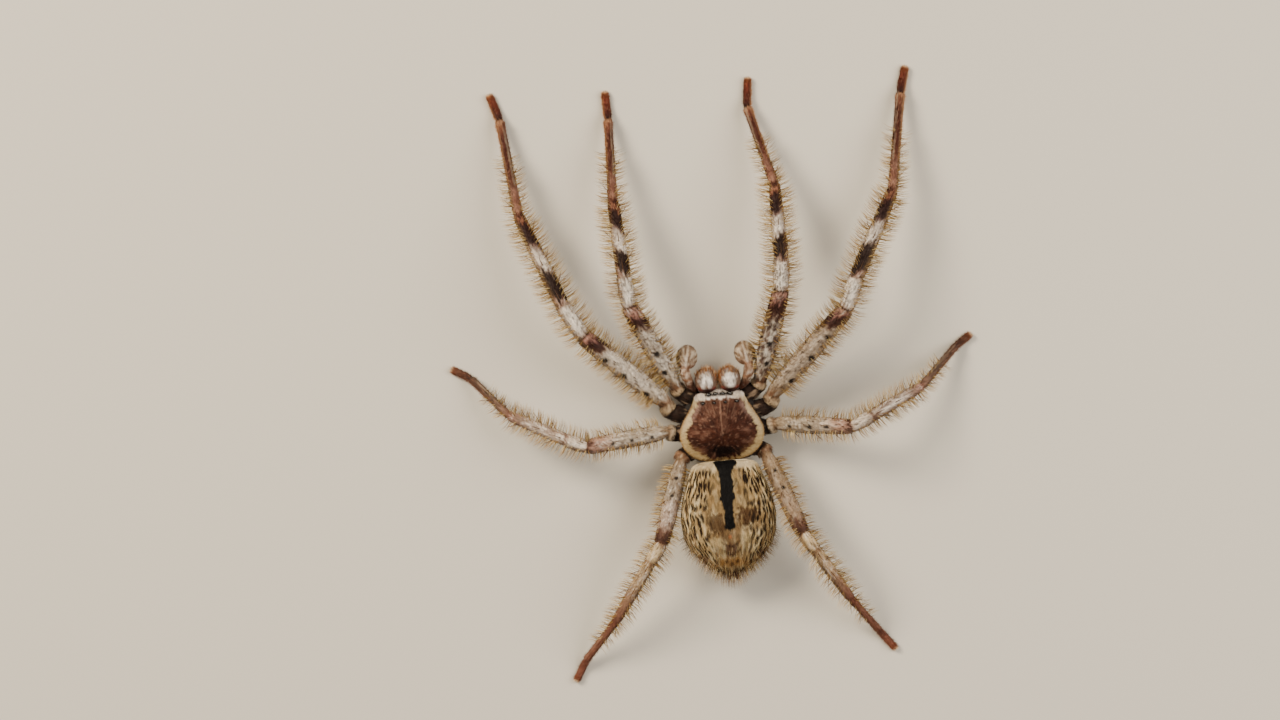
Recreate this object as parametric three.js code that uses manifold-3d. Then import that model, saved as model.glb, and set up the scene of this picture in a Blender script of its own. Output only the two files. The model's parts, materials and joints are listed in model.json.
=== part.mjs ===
// A grey huntsman spider at life size, standing still with its eight legs spread as on a tree trunk.
// Millimetres, +Z up. +Y is the way the spider faces and +X is its right. Each hard plate of the animal is
// a mesh of its own, and neighbouring plates face each other across a thin gap, as the joints of a shell do.
import * as THREE from "three";
import { mergeVertices } from "three/addons/utils/BufferGeometryUtils.js";
import Module from "manifold-3d";

const wasm = await Module();
wasm.setup();

// Driving sizes of the body, in millimetres, from the middle of the carapace.
const GAP = 0.3;
const CARAPACE = { halfWidth: 7.2, frontHalfWidth: 4.1, front: 6.7, back: -5.4, rim: 6.3, height: 4.1 };
const STERNUM = { halfWidth: 2.5, halfLength: 4.1, middle: 0.5, bottom: 2.7, top: 5.7 };
const ABDOMEN = { front: -5.7, length: 19.9, halfWidth: 8.3, heights: [6.9, 7.1, 5.2], flatness: 0.6 };
const ABDOMEN_OUTLINE = [
  [0, 0.02], [0.006, 0.48], [0.035, 0.67], [0.1, 0.75], [0.2, 0.84], [0.33, 0.94], [0.48, 1],
  [0.64, 0.97], [0.74, 0.88], [0.83, 0.71], [0.92, 0.48], [0.975, 0.27], [1, 0.02],
]; // how far back from its front, and how wide there as a share of its half width
const COXA = { height: 4.25, rootRadius: 1.3, endRadius: 1.55, knobRadius: 1.5, knobHeight: 4.6 };
// Past the sole's start the tarsus lies flat on the ground.
const SOLE = { start: 0.34, middleHeight: 0.5, width: 1.15 };

// The jaws and palps of the right side as places and radii along their middle line: x, y, z, radius.
const CHELICERA = [
  [2.04, 6.2, 6.9, 1.7], [2.04, 7.7, 6.9, 1.85], [2.02, 8.8, 6.1, 1.85], [1.95, 9.2, 4.9, 1.55],
  [1.85, 9.3, 3.7, 1.25], [1.8, 9.35, 3.0, 0.8],
];
const FANG = [[1.9, 9.4, 2.6, 0.42], [1.75, 9.8, 2.15, 0.38], [1.3, 9.9, 1.8, 0.28], [0.75, 9.6, 1.65, 0.1]];
const PALP = [
  [3.75, 6.9, 4.9, 0.62], [4.65, 8.1, 5.9, 0.72], [5.4, 9.4, 6.8, 0.76], [5.75, 10.5, 7.1, 0.88],
  [5.8, 11.6, 6.9, 0.9], [5.6, 12.5, 6.3, 1.2], [5.2, 13.2, 5.5, 1.55], [4.8, 13.6, 4.6, 1.45],
  [4.5, 13.75, 3.8, 0.95], [4.4, 13.8, 3.4, 0.4],
];

// The four leg pairs, from front to back: the angle of the coxa's root on the sternum, the middle of the
// trochanter, where the femur starts, and the heights of the joints. Then each length's greatest radius.
const PAIRS = [
  { root: 33, knob: [6.85, 6.7], hip: [7.4, 7.9], heights: [5.3, 12.4, 13.0, 7.2, 1.7] },
  { root: 68, knob: [8.9, 3.4], hip: [9.3, 5.2], heights: [5.3, 11.4, 11.8, 6.4, 1.6] },
  { root: 104, knob: [8.4, -0.45], hip: [9.5, 0.1], heights: [5.3, 10.0, 10.2, 5.2, 1.5] },
  { root: 143, knob: [7.1, -4.25], hip: [7.5, -5.2], heights: [5.3, 10.2, 10.3, 5.6, 1.5] },
];
const RADII = [
  [1.65, 1.35, 1.2, 0.78, 0.66],
  [1.75, 1.4, 1.25, 0.8, 0.68],
  [1.5, 1.2, 1.05, 0.66, 0.58],
  [1.5, 1.15, 1.0, 0.64, 0.58],
];
const SEGMENTS = ["femur", "patella", "tibia", "metatarsus", "tarsus"];

// The pose: for each leg, the compass heading of each length in degrees from straight ahead, and the run it
// covers over the floor. Headings turn outwards on both sides.
const POSE = {
  left: [
    { headings: [26, 5, 4, -1, 2], runs: [16.1, 5.5, 13.1, 14.7, 4.9] },
    { headings: [47, 29, 22, 7, 18], runs: [18.4, 6.7, 17.4, 17.3, 4.9] },
    { headings: [96, 67, 63, 42, 60], runs: [14.3, 3.9, 10.8, 9.4, 3.8] },
    { headings: [162, 144, 146, 139, 150], runs: [14.7, 3.7, 12.2, 8.8, 4.1] },
  ],
  right: [
    { headings: [17, 5, 0, -14, 6], runs: [15.9, 5.4, 13.3, 14.5, 5.2] },
    { headings: [45, 22, 28, 10, 15], runs: [19.5, 5.9, 16.6, 17.4, 4.8] },
    { headings: [97, 66, 65, 46, 56], runs: [13.1, 4.0, 10.4, 9.4, 3.4] },
    { headings: [160, 148, 148, 143, 142], runs: [15.0, 3.5, 10.8, 7.8, 4.5] },
  ],
};

// Each length's outline: how far along it, and how thick there as a share of its greatest radius.
const OUTLINES = {
  femur: [[0, 0.62], [0.12, 0.86], [0.4, 1], [0.75, 0.92], [1, 0.78]],
  patella: [[0, 0.88], [0.4, 1], [1, 0.9]],
  tibia: [[0, 0.98], [0.3, 1], [0.7, 0.86], [1, 0.72]],
  metatarsus: [[0, 0.95], [0.4, 0.86], [1, 0.9]],
  tarsus: [[0, 0.95], [SOLE.start, 1], [0.88, 0.95], [1, 0.6]],
};

// Spines of each length: how far along it they stand, their angle from the top, on the inner and the outer
// side, and their length. They lean towards the foot. The last femur's inner ones stand up, clear of the
// abdomen. A crest is the row on top of a length, steeper than the others.
const SPINES = {
  femur: { places: [0.28, 0.52, 0.76], angles: [-62, 62], length: 2.5 },
  lastFemur: { places: [0.28, 0.52, 0.76], angles: [-18, 62], length: 2.4 },
  tibia: { places: [0.2, 0.5, 0.78], angles: [-78, 78], length: 2.3 },
  metatarsus: { places: [0.12, 0.42], angles: [-80, 80], length: 1.9 },
};
const SPINE = { radius: 0.26, sunk: 0.35, lean: 38, spread: 9 };
const CRESTS = {
  femur: { places: [0.4, 0.64, 0.9], length: 2.3 },
  tibia: { places: [0.05, 0.42], length: 2.3 },
};
const CREST_LEAN = 62; // degrees from the way to the foot

const EYES = {
  front_middle: { place: [0.68, 6.35], radius: 0.36 },
  front_side: { place: [2.05, 6.2], radius: 0.46 },
  back_middle: { place: [1.0, 4.45], radius: 0.34 },
  back_side: { place: [3.1, 4.4], radius: 0.42 },
};

const COLOURS = {
  cream: { color: 0xb9a684, roughness: 0.8 },
  grey: { color: 0xa79c92, roughness: 0.8 },
  brown: { color: 0x5d3524, roughness: 0.75 },
  russet: { color: 0x8a5a3c, roughness: 0.8 },
  dark: { color: 0x1a1210, roughness: 0.35 },
};

const SIDES = { left: -1, right: 1 };
const UP = new THREE.Vector3(0, 0, 1);
const rad = THREE.MathUtils.degToRad;
const point = (x, y, z) => new THREE.Vector3(x, y, z);

// A small seeded random number between -1 and 1, so that repeated pieces vary the same way each time.
let seed = 7;
function vary() {
  seed = (seed * 16807) % 2147483647;
  return (seed / 2147483647) * 2 - 1;
}

// A closed three.js geometry as a solid that can be joined and cut.
function solid(geometry) {
  const bare = new THREE.BufferGeometry();
  bare.setAttribute("position", geometry.getAttribute("position"));
  bare.setIndex(geometry.getIndex());
  const merged = mergeVertices(bare, 1e-4);
  const index = merged.getIndex().array;
  const triangles = [];
  for (let i = 0; i < index.length; i += 3) {
    const [a, b, c] = [index[i], index[i + 1], index[i + 2]];
    if (a !== b && b !== c && a !== c) triangles.push(a, b, c);
  }
  const vertProperties = new Float32Array(merged.getAttribute("position").array);
  const meshOf = (corners) =>
    new wasm.Mesh({ numProp: 3, vertProperties, triVerts: new Uint32Array(corners) });
  const made = new wasm.Manifold(meshOf(triangles));
  if (made.volume() > 0) return made;
  for (let i = 0; i < triangles.length; i += 3)
    [triangles[i], triangles[i + 1]] = [triangles[i + 1], triangles[i]];
  return new wasm.Manifold(meshOf(triangles)); // it was inside out, so its faces are turned
}

const join = (solids) => solids.reduce((all, next) => all.add(next));

// The largest closed body of a solid, so that a node stays in one piece.
function largest(made) {
  const bodies = made.decompose();
  return bodies.reduce((best, next) => (next.volume() > best.volume() ? next : best));
}

// A round length through stations, each a place and a radius. Every ring stands square to the way the path
// runs there, and width is its side-to-side size as a share of its height.
function limb(stations, sides = 10, width = 1) {
  const rings = stations.map(([middle, radius], n) => {
    const before = stations[Math.max(n - 1, 0)][0];
    const after = stations[Math.min(n + 1, stations.length - 1)][0];
    const [into, out] = [middle.clone().sub(before).normalize(), after.clone().sub(middle).normalize()];
    const along = into.add(out).normalize();
    const across = new THREE.Vector3().crossVectors(along, UP).normalize();
    const over = new THREE.Vector3().crossVectors(across, along).normalize();
    return Array.from({ length: sides }, (_, i) => {
      const turn = (2 * Math.PI * i) / sides;
      return middle
        .clone()
        .addScaledVector(across, Math.sin(turn) * radius * width)
        .addScaledVector(over, Math.cos(turn) * radius);
    });
  });
  return loft(rings);
}

// Stations on a straight line: radii are [share of the way, radius].
const line = (from, to, radii) => radii.map(([share, radius]) => [from.clone().lerp(to, share), radius]);

// A closed body through rings of equal count, with a flat cap on the first and the last ring.
function loft(rings) {
  const sides = rings[0].length;
  const middleOf = (ring) =>
    ring.reduce((sum, p) => sum.add(p), new THREE.Vector3()).divideScalar(ring.length);
  const points = [...rings.flat(), middleOf(rings[0]), middleOf(rings.at(-1))];
  const index = [];
  for (let r = 0; r + 1 < rings.length; r++)
    for (let i = 0; i < sides; i++) {
      const [a, b] = [r * sides + i, r * sides + ((i + 1) % sides)];
      index.push(a, b, b + sides, a, b + sides, a + sides);
    }
  const last = (rings.length - 1) * sides;
  for (let i = 0; i < sides; i++) {
    const j = (i + 1) % sides;
    index.push(rings.length * sides, j, i);
    index.push(rings.length * sides + 1, last + i, last + j);
  }
  return solid(new THREE.BufferGeometry().setFromPoints(points).setIndex(index));
}

// A ball or an egg: a sphere scaled to its three half-sizes at a place.
function ball(middle, halfSizes, round = 14, high = 10) {
  const geometry = new THREE.SphereGeometry(1, round, high);
  geometry.scale(...halfSizes);
  geometry.translate(middle.x, middle.y, middle.z);
  return solid(geometry);
}

// Keeps the side of a plane that its normal points to, starting a distance past the place.
function keep(made, place, normal, distance) {
  const unit = normal.clone().normalize();
  return made.trimByPlane(unit.toArray(), unit.dot(place) + distance);
}

// A tapered spine with its root sunk in the surface that it stands on.
function spine(root, direction, length) {
  const geometry = new THREE.ConeGeometry(SPINE.radius, length + SPINE.sunk, 4, 1);
  geometry.translate(0, (length + SPINE.sunk) / 2 - SPINE.sunk, 0);
  geometry.applyQuaternion(new THREE.Quaternion().setFromUnitVectors(point(0, 1, 0), direction));
  geometry.translate(root.x, root.y, root.z);
  return solid(geometry);
}

// The joints of one leg, from the femur's start to the foot's tip.
function jointsOf(pair, pose, side) {
  const { hip, heights } = PAIRS[pair];
  const ends = [point(side * hip[0], hip[1], heights[0])];
  [...heights.slice(1), SOLE.middleHeight].forEach((height, i) => {
    const heading = rad(pose.headings[i]);
    const last = ends.at(-1);
    const run = pose.runs[i];
    ends.push(point(last.x + side * Math.sin(heading) * run, last.y + Math.cos(heading) * run, height));
  });
  return ends;
}

// The outline of one length of a leg as stations from joint to joint.
function lengthOf(name, from, to, radius) {
  const stations = line(from, to, OUTLINES[name].map(([share, size]) => [share, size * radius]));
  if (name === "tarsus") stations.slice(1).forEach(([place]) => place.setZ(SOLE.middleHeight));
  return stations;
}

// Stations lengthened past both ends, so that the body through them can be cut to a mitre there.
function lengthened(stations, start, end) {
  const [[first, r0], [second]] = stations;
  const [[beforeLast], [last, r1]] = stations.slice(-2);
  return [
    [first.clone().addScaledVector(second.clone().sub(first).normalize(), -start), r0],
    ...stations.slice(1, -1),
    [last.clone().addScaledVector(last.clone().sub(beforeLast).normalize(), end), r1],
  ];
}

// The spines of one length, in rows along its sides, leaning towards the foot.
function spinesOf(name, from, to, radius, side) {
  const plan = SPINES[name];
  const direction = to.clone().sub(from).normalize();
  const across = new THREE.Vector3().crossVectors(direction, UP).normalize();
  const over = new THREE.Vector3().crossVectors(across, direction).normalize();
  if (across.x * side < 0) across.negate();
  return plan.places.flatMap((place) =>
    plan.angles.map((angle) => {
      const turn = rad(angle + SPINE.spread * vary());
      const outward = across.clone().multiplyScalar(Math.sin(turn)).addScaledVector(over, Math.cos(turn));
      const root = from.clone().lerp(to, place + 0.02 * vary()).addScaledVector(outward, radius * 0.84);
      const lean = rad(SPINE.lean + 6 * vary());
      const way = outward.multiplyScalar(Math.sin(lean)).addScaledVector(direction, Math.cos(lean));
      return spine(root, way.normalize(), plan.length * (1 + 0.12 * vary()));
    }),
  );
}

// The row of spines on top of one length.
function crestOf(name, from, to, radius) {
  const { places, length } = CRESTS[name];
  const direction = to.clone().sub(from).normalize();
  const across = new THREE.Vector3().crossVectors(direction, UP).normalize();
  const over = new THREE.Vector3().crossVectors(across, direction).normalize();
  const lean = rad(CREST_LEAN);
  const way = over.clone().multiplyScalar(Math.sin(lean)).addScaledVector(direction, Math.cos(lean));
  return places.map((place) =>
    spine(from.clone().lerp(to, place).addScaledVector(over, radius * 0.84), way, length),
  );
}

// The coxa and trochanter of one leg, before they are cut clear of their neighbours.
function hipLength(pair, side, extra = 0) {
  const { root, knob, hip, heights } = PAIRS[pair];
  const turn = rad(root);
  const start = point(
    side * (STERNUM.halfWidth - 0.7) * Math.sin(turn),
    STERNUM.middle + (STERNUM.halfLength - 0.7) * Math.cos(turn),
    COXA.height,
  );
  const end = point(side * knob[0], knob[1], COXA.knobHeight);
  const femurStart = point(side * hip[0], hip[1], heights[0]);
  const way = femurStart.clone().sub(end).normalize();
  const stations = [
    ...line(start, end, [[0, COXA.rootRadius], [0.45, COXA.endRadius], [0.72, COXA.endRadius * 0.94]]),
    [end, COXA.knobRadius],
    [femurStart.clone().addScaledVector(way, 0.6), 1.14],
  ];
  return { start, end, way, body: limb(stations.map(([at, radius]) => [at, radius + extra]), 10) };
}

// The carapace: a low dome on a pear-shaped outline, higher over the head, with a steep front face.
function carapaceHalfWidth(y) {
  const { halfWidth, frontHalfWidth, front, back } = CARAPACE;
  const widest = -0.9;
  if (y >= widest) {
    const share = (y - widest) / (front - widest);
    return THREE.MathUtils.lerp(halfWidth, frontHalfWidth, Math.pow(Math.sin((share * Math.PI) / 2), 1.9));
  }
  const share = (widest - y) / (widest - back);
  const round = Math.sqrt(1 - Math.pow(share, 2.6));
  const broad = Math.sqrt(1 - 0.62 * share * share);
  return halfWidth * (0.42 * round + 0.58 * broad);
}

function carapaceTop(x, y) {
  const { rim, height, front, back } = CARAPACE;
  const across = Math.min(1, Math.abs(x) / carapaceHalfWidth(THREE.MathUtils.clamp(y, back, front)));
  const sideways = Math.pow(1 - Math.pow(across, 2.7), 0.62);
  const backwards = THREE.MathUtils.smoothstep(y, back - 0.4, -0.6);
  const head = 1 - 0.34 * THREE.MathUtils.smoothstep(y, 3.2, front + 0.4);
  const groove = 0.16 * Math.exp(-((x / 0.5) ** 2) - ((y + 1.6) / 1.6) ** 2);
  return rim + 0.5 + (height - 0.5) * sideways * (0.22 + 0.78 * backwards) * head - groove;
}

// A place on the carapace and the way its surface faces there.
function onCarapace(x, y) {
  const step = 0.2;
  const slope = (dx, dy) => (carapaceTop(x + dx, y + dy) - carapaceTop(x - dx, y - dy)) / (2 * step);
  const outward = point(-slope(step, 0), -slope(0, step), 1).normalize();
  return { place: point(x, y, carapaceTop(x, y)), outward };
}

function carapace() {
  const { front, back, rim } = CARAPACE;
  const rows = 15;
  const columns = 14;
  const rings = Array.from({ length: rows + 1 }, (_, row) => {
    const y = THREE.MathUtils.lerp(back, front, 0.5 - 0.5 * Math.cos((Math.PI * row) / rows));
    const half = carapaceHalfWidth(y);
    const top = Array.from({ length: columns + 1 }, (_, i) => {
      const x = -half * Math.cos((Math.PI * i) / columns);
      return point(x, y, carapaceTop(x, y));
    });
    const bottom = [0.8, 0, -0.8].map((share) => point(share * half, y, rim));
    return [...top, point(half, y, rim + 0.12), ...bottom, point(-half, y, rim + 0.12)].reverse();
  });
  return loft(rings);
}

// The abdomen: an egg with a blunt front, wider than it is high, sinking towards the spinnerets.
function abdomen() {
  const { front, length, halfWidth, heights, flatness } = ABDOMEN;
  const outline = new THREE.SplineCurve(
    ABDOMEN_OUTLINE.map(([share, width]) => new THREE.Vector2(share * length, width * halfWidth)),
  ).getPoints(18);
  const sides = 22;
  const rings = outline.map(({ x: back, y: half }) => {
    const share = THREE.MathUtils.clamp(back / length, 0, 1);
    const middle =
      share < 0.45
        ? THREE.MathUtils.lerp(heights[0], heights[1], share / 0.45)
        : THREE.MathUtils.lerp(heights[1], heights[2], ((share - 0.45) / 0.55) ** 1.6);
    return Array.from({ length: sides }, (_, i) => {
      const turn = (2 * Math.PI * i) / sides;
      const round = Math.cos(turn);
      const high = Math.sign(round) * Math.pow(Math.abs(round), 0.86);
      return point(half * Math.sin(turn), front - back, middle + half * flatness * high);
    });
  });
  return loft(rings);
}

// A chelicera: the stout base of a jaw, bulging forwards under the eyes and hanging down.
function chelicera(side, extra = 0) {
  const stations = CHELICERA.map(([x, y, z, radius]) => [point(side * x, y, z), radius + extra]);
  if (extra) return limb(stations, 14);
  const clear = keep(limb(stations, 14), point(0, CARAPACE.front + GAP, 0), point(0, 1, 0), 0);
  return keep(clear, point(0, 0, 0), point(side, 0, 0), GAP / 2);
}

function fang(side) {
  return limb(FANG.map(([x, y, z, radius]) => [point(side * x, y, z), radius]), 7);
}

// A pedipalp: a short leg beside the jaws, bent down at its club-shaped end.
function palp(side) {
  return limb(PALP.map(([x, y, z, radius]) => [point(side * x, y, z), radius]), 10);
}

// The sternum with the two maxillae before it, under the carapace; extra makes it larger on every side.
function sternum(extra = 0) {
  const { halfWidth, halfLength, middle, bottom, top } = STERNUM;
  const rings = [[bottom - extra, 0.78], [bottom + 0.5 - extra, 1], [top + extra, 1]].map(([z, size]) =>
    Array.from({ length: 20 }, (_, i) => {
      const turn = (2 * Math.PI * i) / 20;
      const [wide, long] = [halfWidth * size + extra, halfLength * size + extra];
      return point(wide * Math.sin(turn), middle + long * Math.cos(turn), z);
    }),
  );
  const maxillae = [-1, 1].map((side) =>
    limb(
      line(point(side * 1.0, 4.0 - extra, 3.7), point(side * 1.35, 6.9 + extra, 3.9), [
        [0, 0.75 + extra], [0.6, 1.0 + extra], [1, 0.7 + extra],
      ]),
      8,
    ),
  );
  return join([loft(rings), ...maxillae]);
}

// The spinnerets: four small cones round one root.
function spinnerets() {
  const y = ABDOMEN.front - ABDOMEN.length;
  const z = ABDOMEN.heights[2];
  const cones = [-1, 1].flatMap((side) => [
    limb([[point(side * 0.5, y + 0.4, z - 0.5), 0.5], [point(side * 0.75, y - 1.0, z - 1.0), 0.24]], 7),
    limb([[point(side * 0.5, y + 0.4, z + 0.2), 0.42], [point(side * 0.72, y - 1.15, z + 0.05), 0.2]], 7),
  ]);
  return join([ball(point(0, y + 0.35, z - 0.2), [1.0, 0.75, 0.85], 10, 6), ...cones]);
}

// A solid grown by a small distance on every side, about its own middle, to cut its neighbour clear of it.
function grown(made, distance) {
  const { min, max } = made.boundingBox();
  const middle = min.map((low, i) => (low + max[i]) / 2);
  const scale = min.map((low, i) => 1 + (2 * distance) / (max[i] - low));
  return made.translate(middle.map((m) => -m)).scale(scale).translate(middle);
}

const group = new THREE.Group();
const materials = Object.fromEntries(
  Object.entries(COLOURS).map(([name, look]) => {
    return [name, new THREE.MeshStandardMaterial({ ...look, metalness: 0 })];
  }),
);

function add(name, made, material) {
  const { numProp, vertProperties, triVerts } = largest(made).getMesh();
  const positions = new Float32Array((vertProperties.length / numProp) * 3);
  for (let i = 0; i < positions.length / 3; i++)
    positions.set(vertProperties.subarray(i * numProp, i * numProp + 3), i * 3);
  const geometry = new THREE.BufferGeometry();
  geometry.setAttribute("position", new THREE.BufferAttribute(positions, 3));
  geometry.setIndex(new THREE.BufferAttribute(new Uint32Array(triVerts), 1));
  const mesh = new THREE.Mesh(geometry, materials[material]);
  mesh.name = name;
  group.add(mesh);
}

const shield = carapace();
const belly = abdomen();
const plate = sternum();
const plateGrown = sternum(GAP * 1.15);
const hips = Object.fromEntries(
  Object.entries(SIDES).map(([name, side]) => [name, PAIRS.map((_, pair) => hipLength(pair, side))]),
);

// The sternum gives way to nothing, and the coxae stop short of it and of each other.
function clearHip(name, pair) {
  const all = hips[name];
  const { body, start, end } = all[pair];
  let made = body.subtract(plateGrown);
  for (const other of [pair - 1, pair + 1]) {
    const next = all[other];
    if (!next) continue;
    const inner = start.clone().add(next.start).multiplyScalar(0.5);
    const outer = end.clone().add(next.end).multiplyScalar(0.5);
    const normal = new THREE.Vector3().crossVectors(outer.sub(inner), UP);
    if (normal.dot(start.clone().add(end).multiplyScalar(0.5).sub(inner)) < 0) normal.negate();
    made = keep(made, inner, normal, GAP / 2);
  }
  return made;
}

for (const [name, side] of Object.entries(SIDES)) {
  POSE[name].forEach((pose, pair) => {
    const joints = jointsOf(pair, pose, side);
    const hip = hips[name][pair];
    const ways = joints.slice(1).map((joint, i) => joint.clone().sub(joints[i]).normalize());
    const mitres = ways.map((way, i) => (i ? ways[i - 1] : hip.way).clone().add(way).normalize());
    const label = `leg_${pair + 1}_${name}`;
    const femurSide = mitres[0].clone().negate();
    add(`${label}_hip`, keep(clearHip(name, pair), joints[0], femurSide, GAP / 2), "russet");
    const radii = RADII[pair];
    const [femur, patella, tibia, metatarsus, tarsus] = SEGMENTS.map((segment, i) =>
      lengthOf(segment, joints[i], joints[i + 1], radii[i]),
    );
    // Each body reaches past its joints, gets its spines, and is cut to the mitre half-way into each bend.
    const cut = (stations, first, last, spines) => {
      const ends = [radii[first] * 0.7, last < 4 ? radii[last] * 0.7 : 0];
      let made = join([limb(lengthened(stations, ...ends), 10, last < 4 ? 1 : SOLE.width), ...spines]);
      made = keep(made, joints[first], mitres[first], GAP / 2);
      if (last < 4) made = keep(made, joints[last + 1], mitres[last + 1].clone().negate(), GAP / 2);
      return keep(made, point(0, 0, 0), UP, 0);
    };
    const spines = (i) => {
      const plan = pair === 3 && i === 0 ? "lastFemur" : SEGMENTS[i];
      const place = [joints[i], joints[i + 1], radii[i]];
      const crest = CRESTS[SEGMENTS[i]] ? crestOf(SEGMENTS[i], ...place) : [];
      return [...spinesOf(plan, ...place, side), ...crest];
    };
    add(`${label}_femur`, cut(femur, 0, 0, spines(0)), "grey");
    add(`${label}_tibia`, cut([...patella.slice(0, -1), ...tibia], 1, 2, spines(2)), "grey");
    add(`${label}_metatarsus`, cut(metatarsus, 3, 3, spines(3)), "russet");
    add(`${label}_tarsus`, cut(tarsus, 4, 4, []), "russet");
  });
}

const hipsGrown = Object.values(SIDES).flatMap((side) =>
  PAIRS.map((_, pair) => hipLength(pair, side, GAP).body),
);
add("carapace", shield, "brown");
add("sternum", plate, "cream");
add("abdomen", belly, "cream");
const waist = limb(line(point(0, -3.5, 4.9), point(0, -7.2, 5.9), [[0, 0.6], [0.5, 0.6], [1, 0.9]]), 10);
const freeWaist = waist.subtract(plateGrown).subtract(grown(belly, GAP)).subtract(join(hipsGrown));
add("pedicel", freeWaist, "russet");
add("spinnerets", spinnerets().subtract(grown(belly, GAP)), "russet");
for (const [name, side] of Object.entries(SIDES)) {
  const jaw = chelicera(side);
  const hook = fang(side);
  add(`chelicera_${name}`, jaw, "russet");
  const jawGrown = chelicera(side, GAP);
  add(`fang_${name}`, hook.subtract(jawGrown), "dark");
  const clear = palp(side).subtract(jawGrown).subtract(plateGrown).subtract(hipLength(0, side, GAP).body);
  add(`palp_${name}`, clear, "russet");
  for (const [eye, { place, radius }] of Object.entries(EYES)) {
    const [x, y] = [side * place[0], place[1]];
    const { place: on, outward } = onCarapace(x, y);
    const bead = ball(on.clone().addScaledVector(outward, radius * 0.4), [radius, radius, radius], 8, 6);
    add(`eye_${eye}_${name}`, keep(bead, on, outward, 0.08), "dark");
  }
}

// The origin is under the middle of the whole model, on the floor.
const bounds = new THREE.Box3().setFromObject(group);
const middle = bounds.getCenter(new THREE.Vector3());
group.position.set(-middle.x, -middle.y, -bounds.min.z);

export default group;
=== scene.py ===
# %% [markdown]
# # A grey huntsman spider, life size
# A huntsman is a flat, fast spider that rests on tree trunks with its legs spread sideways and forwards.
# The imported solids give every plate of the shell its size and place. This notebook dresses them: one smooth
# skin for each leg and for each part of the body, the markings of a grey huntsman, and the hair, because a
# huntsman is hairy all over: short flat hair that carries the colours, and long golden bristles on the legs.

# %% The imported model
import json
import math
from types import SimpleNamespace

import bmesh
import bpy
import numpy as np
from mathutils import Matrix, Vector

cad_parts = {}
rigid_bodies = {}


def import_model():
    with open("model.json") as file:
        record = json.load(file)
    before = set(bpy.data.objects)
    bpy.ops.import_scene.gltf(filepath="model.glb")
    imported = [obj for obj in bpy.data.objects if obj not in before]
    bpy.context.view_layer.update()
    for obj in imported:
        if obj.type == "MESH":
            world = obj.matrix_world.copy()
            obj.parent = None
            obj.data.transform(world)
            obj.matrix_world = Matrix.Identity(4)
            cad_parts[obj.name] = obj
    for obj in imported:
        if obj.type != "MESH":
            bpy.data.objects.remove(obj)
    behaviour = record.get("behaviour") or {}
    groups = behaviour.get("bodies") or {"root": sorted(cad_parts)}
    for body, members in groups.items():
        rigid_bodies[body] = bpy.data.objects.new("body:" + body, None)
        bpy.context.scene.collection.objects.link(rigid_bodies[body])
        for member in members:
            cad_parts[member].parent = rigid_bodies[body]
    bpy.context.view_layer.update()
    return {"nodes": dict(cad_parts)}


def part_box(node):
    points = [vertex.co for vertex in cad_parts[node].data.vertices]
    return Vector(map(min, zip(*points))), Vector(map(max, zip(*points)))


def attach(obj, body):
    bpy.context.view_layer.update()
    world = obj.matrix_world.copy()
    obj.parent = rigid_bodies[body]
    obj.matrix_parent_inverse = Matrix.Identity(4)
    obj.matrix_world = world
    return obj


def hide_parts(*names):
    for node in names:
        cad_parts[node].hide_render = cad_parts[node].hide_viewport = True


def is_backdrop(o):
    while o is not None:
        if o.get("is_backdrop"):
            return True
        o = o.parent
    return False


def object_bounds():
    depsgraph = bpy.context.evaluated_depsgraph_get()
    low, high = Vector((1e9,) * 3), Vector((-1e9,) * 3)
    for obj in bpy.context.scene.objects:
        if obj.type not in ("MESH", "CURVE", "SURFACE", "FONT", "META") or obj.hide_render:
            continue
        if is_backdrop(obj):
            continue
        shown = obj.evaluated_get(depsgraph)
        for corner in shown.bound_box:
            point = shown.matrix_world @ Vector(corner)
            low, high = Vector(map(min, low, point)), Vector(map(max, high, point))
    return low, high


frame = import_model()
MM = 0.001
# From the spider's own origin, the middle of its carapace, to the carapace's front edge, in millimetres.
CARAPACE_FRONT = 6.7
carapace_low, carapace_high = (Vector(corner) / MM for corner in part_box("carapace"))
ORIGIN = Vector(((carapace_low.x + carapace_high.x) / 2, carapace_high.y - CARAPACE_FRONT, 0.0))
TO_FRAME = Matrix.Scale(MM, 4) @ Matrix.Translation(ORIGIN)
print("solids:", len(frame["nodes"]), "spider's own origin in the frame, mm:", [round(v, 3) for v in ORIGIN])

# %% [markdown]
# ## The camera
# The spider is seen straight from above, a hand's breadth in from the edge of the picture and turned a few
# degrees to the left. A long lens at a distance of 70 cm keeps the perspective as flat as in a close-up
# taken from a step away. The camera comes first.

# %% Camera
LENS = 112.0  # mm
SENSOR_WIDTH = 36.0  # mm
SEEN_WIDTH = 224.0  # mm across the picture, at the height of the legs' roots
HEAD_TURN = math.radians(4.5)  # how far the head points to the left of straight up
AIM = Vector((-13.28, 12.98, 6.0))  # mm, the middle of the picture
NEAREST_SEEN = 0.01  # m

camera = bpy.data.objects.new("camera", bpy.data.cameras.new("camera"))
bpy.context.scene.collection.objects.link(camera)
camera.data.lens = LENS
camera.data.sensor_width = SENSOR_WIDTH
camera.data.clip_start = NEAREST_SEEN
distance = SEEN_WIDTH / SENSOR_WIDTH * LENS
camera.location = TO_FRAME @ (AIM + Vector((0.0, 0.0, distance)))
camera.rotation_euler = (0.0, 0.0, -HEAD_TURN)
bpy.context.scene.camera = camera
print("camera", [round(v, 4) for v in camera.location], "distance", round(distance, 1), "mm")

# %% [markdown]
# ## Helpers
# Colours are written as the hex values that one reads off a screen, and one function turns them to the
# linear values that Blender works with. A second adds a node with its settings and links. Every finished
# piece goes through the same last step, which moves it into the frame and says which body carries it.


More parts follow.
